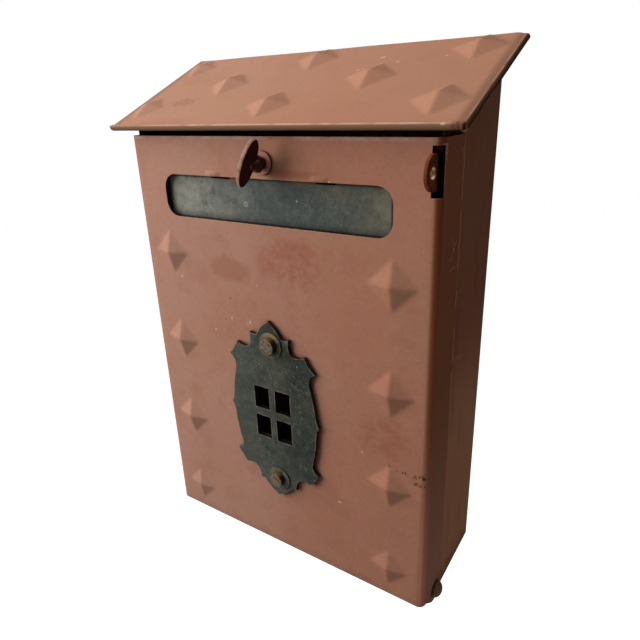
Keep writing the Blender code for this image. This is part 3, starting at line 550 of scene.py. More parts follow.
def inside_paint(p, colour, inside):
    """Bare and rusting steel on the inner faces."""
    rot = p.step(p.noise(17, 5, 0.65, 11.0), 0.42, 0.62)
    bare = p.mix(rot, rgb(92, 66, 54), rgb(104, 60, 38))
    bare = p.mix(p.step(p.noise(5, 4, 0.6, 31.0), 0.5, 0.7), bare, RUST_DARK)
    return p.mix(inside, colour, bare)


def door_paint():
    p = Paint("door_paint", roughness=0.6, specular=0.0)
    colour, mottle = copper_paint(p)
    face = FRONT

    stains = p.spots([((19.0, face, 240.0), (23.0, 30.0, 17.0)), ((88.0, face, 131.0), (20.0, 30.0, 15.0))],
                     0.45, 1.3, 13.0, 5.0)
    stains = p.product(stains, p.step(p.noise(7.0, 4, 0.65, 91.0), 0.3, 0.62), 0.75)
    colour = p.mix(stains, colour, rgb(146, 90, 72))
    smear = p.spots([((-36.0, face, 229.0), (18.0, 30.0, 8.5))], 0.3, 1.2, 9.0, 7.0)
    colour = p.mix(p.math('MULTIPLY', smear, 0.6), colour, rgb(142, 94, 76))
    worn_patch = p.product(p.spots([((-31.0, face, 193.0), (26.0, 30.0, 16.0))], 0.4, 0.8, 12.0),
                           p.step(p.noise(1.8, 3, 0.7, 4.0), 0.5, 0.62))
    colour = p.mix(p.math('MULTIPLY', worn_patch, 0.4), colour, rgb(140, 94, 78))
    top_edge = p.product(p.step(p.z, 315.6, 317.2), p.step(p.noise(14.0, 4, 0.6, 70.0), 0.38, 0.6), 0.45)
    colour = p.mix(top_edge, colour, rgb(176, 158, 146))

    out = p.math('ABSOLUTE', p.x)
    flange_tint = p.mix(p.step(p.z, 190.0, 10.0), rgb(150, 90, 64), rgb(181, 131, 110))
    colour = p.mix(p.product(p.step(out, 118.6, 119.9), 0.85), colour, flange_tint)
    # The bend is painted dark red-brown up high and pale low down: painted shade and painted light on the turn of the
    # sheet, over paint that is redder there.
    bend_shade_and_light = p.mix(p.step(p.z, 300.0, 170.0), rgb(134, 66, 34), rgb(145, 86, 55))
    bend_shade_and_light = p.mix(p.step(p.z, 170.0, 20.0), bend_shade_and_light, rgb(208, 139, 112))
    bend = p.product(p.step(out, 115.2, 117.2), p.step(out, 119.95, 119.3), 0.85)
    colour = p.mix(bend, colour, bend_shade_and_light)
    foot = p.product(p.step(p.math('ADD', p.z, p.math('MULTIPLY', p.noise(14, 4), 30.0)), 26.0, 8.0), 0.35)
    colour = p.mix(foot, colour, rgb(120, 80, 64))

    # The spot at x 50.2, z 293.3, at the right lance's end, is a painted highlight, a glint, not a chip.
    chips = p.spots([((-84.5, face, 217.4), (1.1, 3.0, 0.8)), ((-37.0, face, 192.2), (0.7, 3.0, 0.8)),
                     ((-19.9, face, 192.4), (0.7, 3.0, 1.3)), ((-54.6, face, 180.0), (0.8, 3.0, 0.7)),
                     ((52.1, face, 65.0), (1.5, 3.0, 0.7)), ((71.3, face, 115.1), (1.0, 3.0, 0.5)),
                     ((-22.0, face, 190.5), (0.6, 3.0, 0.5)), ((-11.0, face, 221.0), (0.4, 3.0, 0.6)),
                     ((50.2, face, 293.3), (0.8, 4.0, 0.7))],
                    0.25, 1.1, 1.0, 2.0)
    chips = p.most(chips, p.specks(23.0, 0.45, 0.2, 3.0))
    colour = p.mix(p.math('MULTIPLY', chips, 0.7), colour, CHIP)
    streak = p.spots([((19.0, face, 296.6), (20.0, 3.0, 2.2))], 0.5, 0.9, 5.0)
    colour = p.mix(p.math('MULTIPLY', streak, 0.5), colour, rgb(138, 74, 52))
    # The slot's cut walls are painted near black: painted shade inside the slot.
    slot_wall_shade = p.product(p.within((-97.0, -98.0, 258.0), (99.0, -94.0, 299.0), 1.0),
                          p.step(p.math('ABSOLUTE', p.ny), 0.7, 0.4))
    colour = p.mix(p.math('MULTIPLY', slot_wall_shade, 0.9), colour, rgb(40, 22, 16))
    slot_rim = p.product(p.within((-92.0, -98.0, 261.5), (94.0, -94.0, 294.5), 0.6), p.edges(0.5))
    colour = p.mix(p.math('MULTIPLY', slot_rim, 0.5), colour, rgb(70, 42, 32))
    # Thin pale lines on the slot's lower and upper edges: painted highlights.
    lower_lip_highlight = p.product(p.band(p.z, 262.0, 263.8, 0.3), p.band(p.x, -82.0, 84.0, 4.0), p.edges(0.6))
    upper_lip_highlight = p.product(p.band(p.z, 292.7, 293.7, 0.25), p.band(p.x, -2.0, 36.0, 2.0), p.edges(0.6))
    colour = p.mix(p.math('MULTIPLY', p.most(lower_lip_highlight, upper_lip_highlight), 0.8), colour, rgb(225, 190, 170))

    pits = p.spots([((91.7, face, 111.4), (1.0, 9.0, 1.6)), ((97.6, face, 109.7), (1.0, 9.0, 0.9)),
                    ((103.4, face, 109.5), (2.2, 9.0, 1.2)), ((110.4, face, 109.2), (1.8, 9.0, 1.8)),
                    ((116.0, face, 110.6), (3.4, 9.0, 1.8)), ((9.5, face, 317.6), (0.8, 3.0, 0.4)),
                    ((-37.1, face, 207.7), (1.0, 3.0, 0.8)), ((114.0, face, 104.6), (5.0, 6.0, 1.6))],
                   0.3, 1.3, 1.6, 9.0)
    pits = p.product(pits, p.step(p.noise(1.1, 3, 0.7, 19.0), 0.49, 0.57))
    pits = p.most(pits, p.product(p.specks(31.0, 0.5, 0.25, 17.0), 0.7))
    colour = p.mix(p.math('MULTIPLY', pits, 0.92), colour, DARK_PIT)

    flange = 120.0
    marks = p.scratches([((flange, -80.5, 251.0), (flange, -71.0, 260.5)),
                         ((flange, -74.0, 251.5), (flange, -77.0, 263.0)),
                         ((flange, -80.0, 244.5), (flange, -72.0, 245.5)),
                         ((flange, -70.0, 312.0), (flange, -68.5, 306.0))], 0.6)
    marks = p.product(marks, p.step(p.noise(3.0, 3), 0.42, 0.52))
    colour = p.mix(p.math('MULTIPLY', marks, 0.8), colour, rgb(196, 156, 118))
    rear_edge = p.product(p.step(p.y, -67.6, -66.8), p.step(p.noise(14.0, 4, 0.6, 33.0), 0.36, 0.5),
                          p.step(p.z, 120.0, 170.0), 0.8)
    colour = p.mix(rear_edge, colour, rgb(206, 146, 112))

    slot_rub = p.product(p.spots([((116.0, face, 300.5), (6.5, 9.0, 17.0))], 0.25, 0.6, 5.0), p.edges(1.2))
    colour = p.mix(p.math('MULTIPLY', slot_rub, 0.5), colour, rgb(190, 158, 136))
    pale_strip = p.product(p.within((118.4, -97.0, 307.0), (121.0, -91.0, 315.5), 0.5),
                           p.step(p.noise(3.4, 3, 0.6, 44.0), 0.34, 0.56))
    colour = p.mix(p.math('MULTIPLY', pale_strip, 0.7), colour, rgb(200, 158, 134))
    # Darker round the knob and to its right.
    near_knob_darker = p.spots([((8.0, face, 306.0), (20.0, 20.0, 9.0))], 0.6, 0.8, 8.0)
    colour = p.mix(p.math('MULTIPLY', near_knob_darker, 0.25), colour, rgb(136, 88, 68))
    rim = p.product(p.edges(0.9), p.step(p.noise(4.0, 4, 0.65, 21.0), 0.47, 0.6))
    colour = p.mix(p.math('MULTIPLY', rim, 0.4), colour, RUST_DARK)
    # Dark in corners and hard by other pieces: painted shade.
    colour = p.mix(p.math('MULTIPLY', p.crevice_shade(5.0), 0.6), colour, rgb(58, 34, 26))

    inside = p.most(p.step(p.ny, 0.3, 0.6), p.product(p.step(p.y, FRONT + 0.4, FRONT + 0.8),
                                                      p.step(p.product(p.nx, p.x), -60.0, -100.0)))
    colour = inside_paint(p, colour, inside)
    rough = p.math('ADD', p.math('MULTIPLY', mottle, 0.22), p.math('MULTIPLY', pits, 0.25))
    rough = p.math('ADD', rough, 0.46)
    height = p.math('SUBTRACT', mottle, p.math('MULTIPLY', p.most(chips, pits), 1.6))
    grain = p.bump(p.noise(0.7, 3, 0.6, 13.0), 0.02)
    normal = p.bump(height, 0.05, grain)
    return p.finish(colour, rough, normal)


def roof_paint():
    p = Paint("roof_paint", roughness=0.6, specular=0.0)
    colour, mottle = copper_paint(p)
    colour = p.mix(p.step(p.x, -130.0, 60.0), p.mix(0.3, colour, TAN), p.mix(0.45, colour, rgb(166, 124, 100)))

    def on_roof(x, s):
        return (x, ROOF_EDGE[0] + s * math.cos(ROOF_PITCH), ROOF_EDGE[1] + s * math.sin(ROOF_PITCH))

    chips = p.spots([(on_roof(46.4, 87.5), (2.1, 1.0, 1.0)), (on_roof(37.1, 70.6), (1.1, 0.9, 0.9)),
                     (on_roof(39.5, 72.5), (0.8, 0.7, 0.7)), (on_roof(60.9, 79.5), (1.3, 0.8, 0.8)),
                     (on_roof(91.3, 83.3), (1.1, 0.7, 0.7)), (on_roof(49.9, 78.0), (0.6, 0.6, 0.6)),
                     (on_roof(44.0, 79.0), (0.5, 0.5, 0.5))], 0.25, 1.1, 1.2, 2.0)
    chips = p.most(chips, p.specks(21.0, 0.5, 0.22, 8.0))
    colour = p.mix(p.math('MULTIPLY', chips, 0.65), colour, CHIP)
    smudge = p.product(p.spots([(on_roof(-88.4, 35.7), (10.0, 6.0, 6.0))], 0.4, 2.2, 3.0),
                       p.step(p.noise(2.2, 4, 0.7, 61.0), 0.44, 0.56))
    colour = p.mix(p.math('MULTIPLY', smudge, 0.5), colour, rgb(116, 80, 62))
    dark = p.product(p.specks(33.0, 0.5, 0.3, 27.0), 0.6)
    colour = p.mix(dark, colour, DARK_PIT)

    ahead = p.math('SUBTRACT', ROOF_EDGE[0] + 1.2, p.y)
    above = p.math('SUBTRACT', p.z, ROOF_EDGE[1])
    bead = p.step(ahead, -1.2, -0.2)
    low_bead = p.product(bead, p.step(above, 1.5, 0.6))
    colour = p.mix(p.math('MULTIPLY', low_bead, 0.85), colour, rgb(104, 80, 62))
    # A pale broken line along the bead's top: wear, and a painted highlight.
    top_line_worn_and_lit = p.product(bead, p.band(above, 1.2, 1.9, 0.3))
    broken = p.step(p.noise(12.0, 4, 0.5, 5.0, (1.0, 0.1, 0.1)), 0.3, 0.6)
    ends = p.band(p.x, -88.0, 118.0, 16.0)
    colour = p.mix(p.product(top_line_worn_and_lit, broken, ends, 0.55), colour, rgb(206, 168, 150))
    nicks = p.product(bead, p.specks(17.0, 0.6, 0.5, 51.0))
    colour = p.mix(p.math('MULTIPLY', nicks, 0.9), colour, DARK_PIT)
    tip = p.product(bead, p.step(p.x, 124.5, 128.0), p.step(p.noise(2.0, 4, 0.65, 16.0), 0.34, 0.5))
    colour = p.mix(p.math('MULTIPLY', tip, 0.85), colour, rgb(82, 48, 32))
    tip_chip = p.spots([((121.5, -104.0, 325.4), (1.3, 2.0, 0.7))], 0.4, 1.0, 1.4)
    colour = p.mix(p.math('MULTIPLY', tip_chip, 0.6), colour, CHIP)

    out = p.math('ABSOLUTE', p.x)
    outward = p.product(p.nx, p.math('SIGN', p.x))
    # Darker over the last few millimetres before each side rim: painted shade where the sheet turns down.
    roll = p.product(p.step(out, ROOF_HALF - 7.0, ROOF_HALF - 2.2), p.step(ahead, -1.0, -4.0), 0.5)
    colour = p.mix(roll, colour, rgb(112, 84, 64))
    side_bead = p.step(out, ROOF_HALF - 2.6, ROOF_HALF - 1.8)
    # The side rims' outward faces are painted dark: painted shade.
    turned_out_shade = p.product(side_bead, p.step(outward, 0.12, 0.4))
    colour = p.mix(p.math('MULTIPLY', turned_out_shade, 0.92), colour, rgb(78, 56, 40))
    # A thin pale line along each side rim's top: a painted highlight.
    side_highlight_line = p.product(p.band(out, ROOF_HALF - 2.2, ROOF_HALF - 1.3, 0.3), p.step(outward, 0.3, 0.1),
                          p.step(p.noise(11.0, 4, 0.6, 15.0), 0.42, 0.6), 0.3)
    colour = p.mix(side_highlight_line, colour, rgb(206, 172, 150))
    # A darker band on the top of the left edge: painted shade where the sheet slopes up there.
    left_edge_shade = p.product(p.step(p.x, 1.7 - ROOF_HALF, 0.5 - ROOF_HALF), p.step(p.nz, 0.2, 0.5), 0.7)
    colour = p.mix(left_edge_shade, colour, rgb(118, 92, 84))
    # A pale line on the side rims' undersides: a painted highlight.
    under_highlight_line = p.product(side_bead, p.band(p.nz, -0.75, -0.35, 0.1), p.band(p.y, -79.0, -57.0, 4.0), 0.8)
    colour = p.mix(under_highlight_line, colour, rgb(214, 178, 156))

    under = p.step(p.nz, -0.2, -0.6)
    inside = p.product(under, p.step(ahead, 0.0, -2.0), p.step(out, ROOF_HALF - 3.0, ROOF_HALF - 5.0))
    colour = inside_paint(p, colour, p.product(inside, 0.75))
    colour = p.mix(p.math('MULTIPLY', inside, 0.5), colour, rgb(70, 44, 34))
    rear = p.product(p.edges(0.8), p.step(p.noise(4.0, 4, 0.65, 21.0), 0.45, 0.6), 0.45)
    colour = p.mix(rear, colour, RUST_DARK)
    rough = p.math('ADD', p.math('MULTIPLY', mottle, 0.22), 0.46)
    height = p.math('SUBTRACT', mottle, p.math('MULTIPLY', p.most(chips, nicks), 1.6))
    normal = p.bump(height, 0.05, p.bump(p.noise(0.7, 3, 0.6, 13.0), 0.02))
    return p.finish(colour, rough, normal)


def body_paint():
    p = Paint("body_paint", roughness=0.62, specular=0.0)
    colour, mottle = copper_paint(p, 0.6)
    colour = p.mix(0.75, colour, SIDE_BROWN)
    sides = p.step(p.math('ABSOLUTE', p.nx), 0.4, 0.8)
    colour = p.mix(p.product(p.step(p.z, 210.0, 110.0), sides, 0.8), colour, rgb(197, 141, 109))
    olive = p.product(p.step(p.z, 170.0, 300.0), p.step(p.noise(40.0, 3, 0.5, 120.0), 0.3, 0.6), 0.6)
    colour = p.mix(olive, colour, rgb(142, 100, 74))
    streak = p.step(p.noise(9.0, 4, 0.6, 60.0, (1.0, 1.0, 0.12)), 0.5, 0.72)
    colour = p.mix(p.math('MULTIPLY', streak, 0.3), colour, rgb(112, 74, 56))
    low = p.math('ADD', p.z, p.math('MULTIPLY', p.noise(12.0, 5, 0.6, 3.0), 46.0))
    rusty_foot = p.product(p.step(low, 34.0, 14.0), 0.55)
    colour = p.mix(rusty_foot, colour, RUST)

    holes = [((x, 0.0, z), (r, 8.0, r)) for x in (-80.0, 80.0) for z, r in ((48.0, 8.0), (337.0, 13.0))]
    drips = [((x, 0.0, z - 16.0), (2.4, 6.0, 20.0)) for x in (-80.0, 80.0) for z in (46.0, 332.0)]
    bleed = p.spots(holes + drips, 0.5, 1.0, 5.0)
    back = p.step(p.y, -2.0, -0.6)
    colour = p.mix(p.product(bleed, back, 0.7), colour, RUST)
    rub = p.product(back, p.step(p.noise(20.0, 5, 0.65, 90.0), 0.5, 0.6), 0.4)
    colour = p.mix(rub, colour, rgb(120, 100, 86))

    side = 117.5
    marks = p.scratches([((side, -18.5, 265.0), (side, -11.0, 270.0)),
                         ((side, -60.0, 180.0), (side, -42.0, 176.0)),
                         ((-side, -40.0, 150.0), (-side, -22.0, 163.0)),
                         ((-side, -60.0, 90.0), (-side, -52.0, 72.0))], 0.5)
    chips = p.most(p.specks(26.0, 0.6, 0.25, 6.0), marks)
    colour = p.mix(p.math('MULTIPLY', chips, 0.55), colour, rgb(190, 150, 128))
    edge = p.product(p.edges(1.0), p.step(p.noise(5.0, 4, 0.65, 9.0), 0.45, 0.6))
    colour = p.mix(p.math('MULTIPLY', edge, 0.7), colour, RUST_DARK)
    pits = p.product(p.specks(24.0, 0.7, 0.3, 33.0), 0.7)
    colour = p.mix(pits, colour, DARK_PIT)
    rubbed = p.product(p.band(p.y, -63.2, -61.4, 0.5), p.step(p.noise(14.0, 4, 0.6, 71.0), 0.36, 0.5),
                       p.step(p.z, 120.0, 170.0), 0.85)
    colour = p.mix(rubbed, colour, rgb(160, 84, 44))
    # A dark band on the body just behind the door's flange: a painted contact shadow.
    behind_door_shade = p.step(p.y, -63.2, -64.2)
    colour = p.mix(p.math('MULTIPLY', behind_door_shade, 0.8), colour, rgb(34, 20, 15))
    # Dark in corners and hard by other pieces: painted shade.
    colour = p.mix(p.math('MULTIPLY', p.crevice_shade(6.0), 0.55), colour, rgb(48, 28, 20))

    inner_side = p.step(p.product(p.nx, p.x), -60.0, -100.0)
    inner_back = p.product(p.step(p.ny, -0.4, -0.7), p.step(p.y, -3.0, -1.5))
    colour = inside_paint(p, colour, p.most(inner_side, inner_back))
    rough = p.math('ADD', p.math('MULTIPLY', mottle, 0.2), 0.5)
    height = p.math('SUBTRACT', mottle, p.math('MULTIPLY', p.most(chips, pits), 1.3))
    normal = p.bump(height, 0.05, p.bump(p.noise(0.7, 3, 0.6, 13.0), 0.02))
    return p.finish(colour, rough, normal)


def brown_paint():
    """Hidden sheet pieces: thin brown paint over rust."""
    p = Paint("brown_paint", roughness=0.7, specular=0.02)
    rot = p.step(p.noise(11.0, 5, 0.65, 2.0), 0.42, 0.6)
    colour = p.mix(rot, rgb(112, 74, 58), rgb(110, 62, 38))
    colour = p.mix(p.step(p.noise(3.0, 4, 0.6, 12.0), 0.52, 0.68), colour, RUST_DARK)
    edge = p.product(p.edges(0.8), 0.6)
    colour = p.mix(edge, colour, rgb(130, 98, 78))
    return p.finish(colour, None, p.bump(p.noise(1.6, 4, 0.65), 0.08))


def zinc():
    """Dull galvanised sheet: pale and yellowish at its left end, dark grey-green in the middle."""
    p = Paint("dull_zinc", roughness=0.55, metallic=0.0, specular=0.05)
    drift = p.math('ADD', p.x, p.math('MULTIPLY', p.math('SUBTRACT', p.noise(16.0, 4, 0.6), 0.5), 60.0))
    pale = p.step(drift, 8.0, -84.0)
    colour = p.mix(pale, rgb(70, 75, 72), rgb(125, 124, 115))
    warm = p.product(p.step(drift, 30.0, 90.0), 0.8)
    colour = p.mix(warm, colour, rgb(93, 90, 78))
    blotch = p.step(p.noise(7.0, 4, 0.65, 8.0), 0.42, 0.66)
    colour = p.mix(p.math('MULTIPLY', blotch, 0.3), colour, rgb(104, 108, 100))
    smoke = p.step(p.noise(13.0, 5, 0.6, 23.0), 0.48, 0.66)
    colour = p.mix(p.math('MULTIPLY', smoke, 0.5), colour, rgb(56, 62, 60))
    away, number = p.cells(3.2, 5.0)
    spangle = p.math('MULTIPLY', p.math('SUBTRACT', number, 0.5), 0.22)
    fine = p.math('MULTIPLY', p.math('SUBTRACT', p.noise(0.9, 3, 0.75, 3.0), 0.5), 1.3)
    shade = p.math('ADD', 1.0, p.math('ADD', spangle, fine))
    colour = p.vector('SCALE', colour, Scale=shade)
    salt = p.product(p.specks(1.7, 0.3, 0.35, 9.0), p.step(p.noise(12.0, 3, 0.5, 66.0), 0.4, 0.6), 0.4)
    colour = p.mix(salt, colour, rgb(156, 156, 142))
    olive = p.spots([((-83.0, -92.0, 281.0), (6.0, 9.0, 9.0)), ((86.0, -92.0, 281.0), (9.0, 9.0, 8.0))],
                    0.6, 1.2, 5.0)
    colour = p.mix(p.math('MULTIPLY', olive, 0.22), colour, rgb(134, 128, 102))
    stained = p.product(p.spots([((51.0, -92.0, 286.0), (14.0, 9.0, 6.0))], 0.6, 1.2, 5.0),
                        p.step(p.noise(0.9, 4, 0.7, 41.0), 0.38, 0.68), 0.4)
    colour = p.mix(stained, colour, rgb(122, 106, 78))
    # Darker towards the flap's bottom: painted shade under the slot's lower edge.
    lower = p.product(p.step(p.z, 269.0, 264.5), 0.45)
    colour = p.mix(lower, colour, rgb(50, 48, 46))
    # Near black outside the part of the flap seen through the slot: painted shadow of the slot's edges.
    seen = p.within((-88.5, -100.0, 263.8), (88.6, -80.0, 291.2), 0.8)
    colour = p.mix(p.math('MULTIPLY', p.math('SUBTRACT', 1.0, seen), 0.8), colour, rgb(14, 10, 8))
    ring = p.spots([((-18.7, -92.0, 275.2), (1.7, 9.0, 1.7))], 0.3)
    core = p.spots([((-18.7, -92.0, 275.2), (0.8, 9.0, 0.8))], 0.3)
    ring = p.math('SUBTRACT', ring, core)
    flecks = p.most(ring, p.specks(9.0, 0.45, 0.3, 4.0),
                    p.spots([((23.3, -92.0, 279.9), (0.7, 9.0, 0.9))], 0.3))
    colour = p.mix(p.math('MULTIPLY', flecks, 0.45), colour, rgb(170, 168, 154))
    left_rust = p.product(p.within((-30.8, -99.0, 289.3), (-22.0, -84.0, 293.5), 0.35), 0.75)
    colour = p.mix(left_rust, colour, rgb(134, 84, 50))
    right_rust = p.product(p.spots([((28.0, -92.0, 292.0), (10.0, 6.0, 2.8))], 0.5, 0.9, 3.0), 0.65)
    colour = p.mix(right_rust, colour, rgb(104, 84, 58))
    brown = p.product(p.step(drift, 40.0, 84.0), p.specks(6.0, 0.7, 0.35, 14.0), 0.45)
    colour = p.mix(brown, colour, rgb(118, 84, 58))
    # Dark in corners and hard by other pieces: painted shade.
    colour = p.mix(p.math('MULTIPLY', p.crevice_shade(5.0), 0.55), colour, rgb(26, 22, 20))
    rough = p.math('ADD', 0.45, p.math('MULTIPLY', blotch, 0.2))
    return p.finish(colour, rough, p.bump(p.noise(1.3, 4, 0.7, 2.0), 0.05))


def patina():
    """Dark slate-green patina with pale salts, thin pale edges that are worn and carry a painted highlight, reddish
    side walls darkened by painted shade, and painted shade in the windows and corners.
    """
    p = Paint("dark_patina", roughness=0.6, specular=0.05)
    base = p.mix(p.step(p.noise(17.0, 4, 0.6, 6.0), 0.4, 0.62), rgb(48, 51, 47), rgb(64, 66, 60))
    right = p.step(p.math('ADD', p.x, p.math('MULTIPLY', p.noise(14.0, 4, 0.6, 83.0), 24.0)), 8.0, 30.0)
    base = p.mix(p.math('MULTIPLY', right, 0.55), base, rgb(38, 42, 36))
    olive = p.step(p.noise(24.0, 4, 0.6, 55.0), 0.5, 0.66)
    base = p.mix(p.math('MULTIPLY', olive, 0.5), base, rgb(66, 65, 50))
    smoke = p.step(p.noise(6.0, 5, 0.65, 15.0), 0.5, 0.68)
    base = p.mix(p.math('MULTIPLY', smoke, 0.55), base, rgb(38, 44, 40))
    bloom = p.product(p.step(p.noise(3.4, 4, 0.7, 25.0), 0.52, 0.66), p.step(p.noise(20.0, 3, 0.5, 35.0), 0.42, 0.6))
    base = p.mix(p.math('MULTIPLY', bloom, 0.35), base, rgb(100, 112, 102))
    smear = p.spots([((0.5, -99.0, 164.0), (13.0, 20.0, 13.0))], 0.6, 1.0, 9.0)
    base = p.mix(p.math('MULTIPLY', smear, 0.22), base, rgb(86, 84, 68))
    foot = p.spots([((-2.0, -99.0, 62.0), (26.0, 20.0, 17.0))], 0.5, 0.8, 6.0)
    base = p.mix(p.math('MULTIPLY', foot, 0.34), base, rgb(92, 92, 84))
    fine = p.node("MapRange", {"Value": p.noise(1.0, 3, 0.75, 71.0), "From Min": 0.3, "From Max": 0.7,
                               "To Min": 0.62, "To Max": 1.42}).outputs[0]
    base = p.vector('SCALE', base, Scale=fine)
    blotch = p.node("MapRange", {"Value": p.noise(5.5, 5, 0.7, 91.0), "From Min": 0.38, "From Max": 0.62,
                                 "To Min": 0.8, "To Max": 1.24}).outputs[0]
    base = p.vector('SCALE', base, Scale=blotch)
    left = p.step(p.x, 4.0, -34.0)
    base = p.mix(p.math('MULTIPLY', left, 0.3), base, rgb(86, 88, 80))
    salts = p.most(p.specks(2.2, 0.36, 0.5, 5.0), p.specks(5.0, 0.6, 0.4, 12.0), p.specks(1.5, 0.28, 0.4, 31.0))
    thick = p.spots([((-24.0, -99.0, 168.0), (16.0, 20.0, 18.0)), ((20.0, -99.0, 160.0), (9.0, 20.0, 12.0))],
                    0.7, 0.9, 9.0)
    salts = p.product(salts, p.math('ADD', 0.2, p.math('MULTIPLY', thick, 0.55)))
    base = p.mix(salts, base, rgb(168, 180, 164))
    green_edge = p.product(p.step(p.x, -8.0, -34.0), p.edges(2.2, 0.02, 0.2), p.step(p.noise(6.0, 3), 0.42, 0.55))
    base = p.mix(p.math('MULTIPLY', green_edge, 0.45), base, rgb(84, 106, 80))
    # Side walls painted reddish near black: a reddish edge colour darkened as painted shade.
    wall = p.step(p.math('ABSOLUTE', p.ny), 0.35, 0.2)
    wall_shade_tint = p.mix(p.step(p.noise(5.0, 4), 0.4, 0.6), rgb(40, 20, 16), rgb(60, 34, 26))
    base = p.mix(p.math('MULTIPLY', wall, 0.92), base, wall_shade_tint)
    # The window walls are near black: painted shade inside the holes.
    window_shade = p.product(p.within((-20.0, -104.0, 98.0), (17.0, -90.0, 148.0), 1.0), wall)
    base = p.mix(window_shade, base, rgb(14, 9, 8))
    # Thin pale rims on the front edges: wear, and a painted highlight.
    rim = p.product(p.most(p.band(p.ny, -0.97, -0.5, 0.02), p.edges(1.1, 0.01, 0.1)), p.step(p.ny, -0.3, -0.6),
                    p.step(p.noise(6.0, 4, 0.6, 45.0), 0.34, 0.58))
    base = p.mix(p.math('MULTIPLY', rim, 0.8), base, rgb(150, 142, 130))
    # Near black in corners and hard by other pieces: painted shade.
    base = p.mix(p.math('MULTIPLY', p.crevice_shade(3.0), 0.5), base, rgb(18, 14, 12))
    height = p.math('ADD', p.noise(4.5, 5, 0.7, 5.0), p.math('MULTIPLY', salts, 0.5))
    rough = p.math('ADD', 0.5, p.math('MULTIPLY', bloom, 0.25))
    return p.finish(base, rough, p.bump(height, 0.25, p.bump(p.noise(1.2, 3, 0.7), 0.05)))


def brass():
    """Studs and washers: tarnished brass, its heads olive-brown on the face; their sides carry painted light on top
    and painted shade below and on the right.
    """
    p = Paint("aged_brass", roughness=0.55, specular=0.1)
    front = p.step(p.ny, -0.6, -0.9)
    # Head sides: golden-brown facing up, near black facing down and to the right: painted light and painted shade.
    side_light_and_shade = p.mix(p.step(p.nz, -0.2, 0.6), rgb(40, 24, 16), rgb(106, 72, 38))
    side_light_and_shade = p.mix(p.step(p.nx, 0.2, 0.8), side_light_and_shade, rgb(30, 16, 12))
    face_tint = p.mix(p.step(p.noise(2.2, 4, 0.65, 4.0), 0.42, 0.6), rgb(108, 97, 80), rgb(74, 63, 48))
    colour = p.mix(front, side_light_and_shade, face_tint)
    specks = p.product(front, p.specks(1.4, 0.3, 0.5, 21.0), 0.7)
    colour = p.mix(specks, colour, rgb(34, 22, 16))
    ring = p.step(p.y, -100.72, -100.58)
    ring_tint = p.mix(p.step(p.noise(4.0, 4, 0.6, 9.0), 0.4, 0.62), rgb(88, 88, 76), rgb(62, 64, 56))
    over_stud = p.spots([((STUDS[1][0], -100.5, STUDS[1][1] + 7.6), (6.0, 4.0, 2.6))], 0.5, 0.8, 3.0)
    ring_tint = p.mix(p.math('MULTIPLY', over_stud, 0.7), ring_tint, rgb(132, 118, 76))
    colour = p.mix(ring, colour, ring_tint)
    # Pale thin edges on the faces: wear, and a painted highlight.
    worn = p.product(p.edges(0.7, 0.01, 0.15), p.step(p.noise(3.0, 3), 0.38, 0.52), front, 0.5)
    colour = p.mix(worn, colour, rgb(140, 130, 108))
    fleck = p.product(p.specks(2.4, 0.3, 0.35, 2.0), 0.35)
    colour = p.mix(fleck, colour, rgb(160, 146, 122))
    # Near black in corners and hard by other pieces: painted shade.
    colour = p.mix(p.math('MULTIPLY', p.crevice_shade(2.5), 0.7), colour, rgb(16, 10, 8))
    return p.finish(colour, None, p.bump(p.noise(1.6, 4, 0.7, 3.0), 0.2))


def knob_iron():
    """Dark maroon paint, darkened in part as painted shade, rubbed to pale copper round the rim of the oval thumb
    plate; that rim also carries painted light and painted highlights.
    """
    p = Paint("knob_iron", roughness=0.5, specular=0.05)
    colour = p.mix(p.step(p.noise(6.0, 4, 0.6), 0.4, 0.62), rgb(50, 18, 13), rgb(62, 27, 19))
    across = Vector((math.cos(LATCH_TILT), 0.0, -math.sin(LATCH_TILT)))
    facing = p.node("CombineXYZ", {0: p.nx, 1: p.ny, 2: p.nz}).outputs[0]
    facing = p.math('ABSOLUTE', p.vector('DOT_PRODUCT', facing, tuple(across)))
    # The rim is painted pale copper: wear, and painted light; its pinkish-white specks are painted highlights.
    rim = p.product(p.step(p.y, -103.5, -105.5), p.step(facing, 0.8, 0.45))
    rim_paint_worn_and_lit = p.mix(p.step(p.noise(2.4, 4, 0.65, 5.0), 0.42, 0.6), rgb(158, 122, 104), rgb(126, 98, 82))
    rim_paint_worn_and_lit = p.mix(p.product(p.specks(1.6, 0.35, 0.4, 3.0), 0.7), rim_paint_worn_and_lit, rgb(206, 180, 160))
    colour = p.mix(rim, colour, rim_paint_worn_and_lit)
    pits = p.product(p.specks(4.0, 0.45, 0.35, 5.0), 0.6)
    colour = p.mix(pits, colour, rgb(30, 14, 10))
    # Near black in corners and hard by other pieces: painted shade.
    colour = p.mix(p.math('MULTIPLY', p.crevice_shade(4.0), 0.6), colour, rgb(18, 8, 6))
    return p.finish(colour, None, p.bump(p.noise(2.0, 4, 0.65, 3.0), 0.12))


def collar_iron():
    """The washer round the thumb turn: pinkish paint on its face, a dark red wall."""
    p = Paint("collar_iron", roughness=0.55, specular=0.05)
    face = p.step(p.ny, -0.7, -0.9)
    colour = p.mix(face, rgb(62, 22, 14), rgb(148, 104, 90))
    colour = p.mix(p.step(p.noise(3.0, 4, 0.65), 0.5, 0.7), colour, rgb(112, 66, 52))
    # Dark in corners and hard by other pieces: painted shade.
    colour = p.mix(p.math('MULTIPLY', p.crevice_shade(3.0), 0.6), colour, rgb(34, 12, 8))
    return p.finish(colour, None, p.bump(p.noise(2.0, 4, 0.65, 3.0), 0.08))


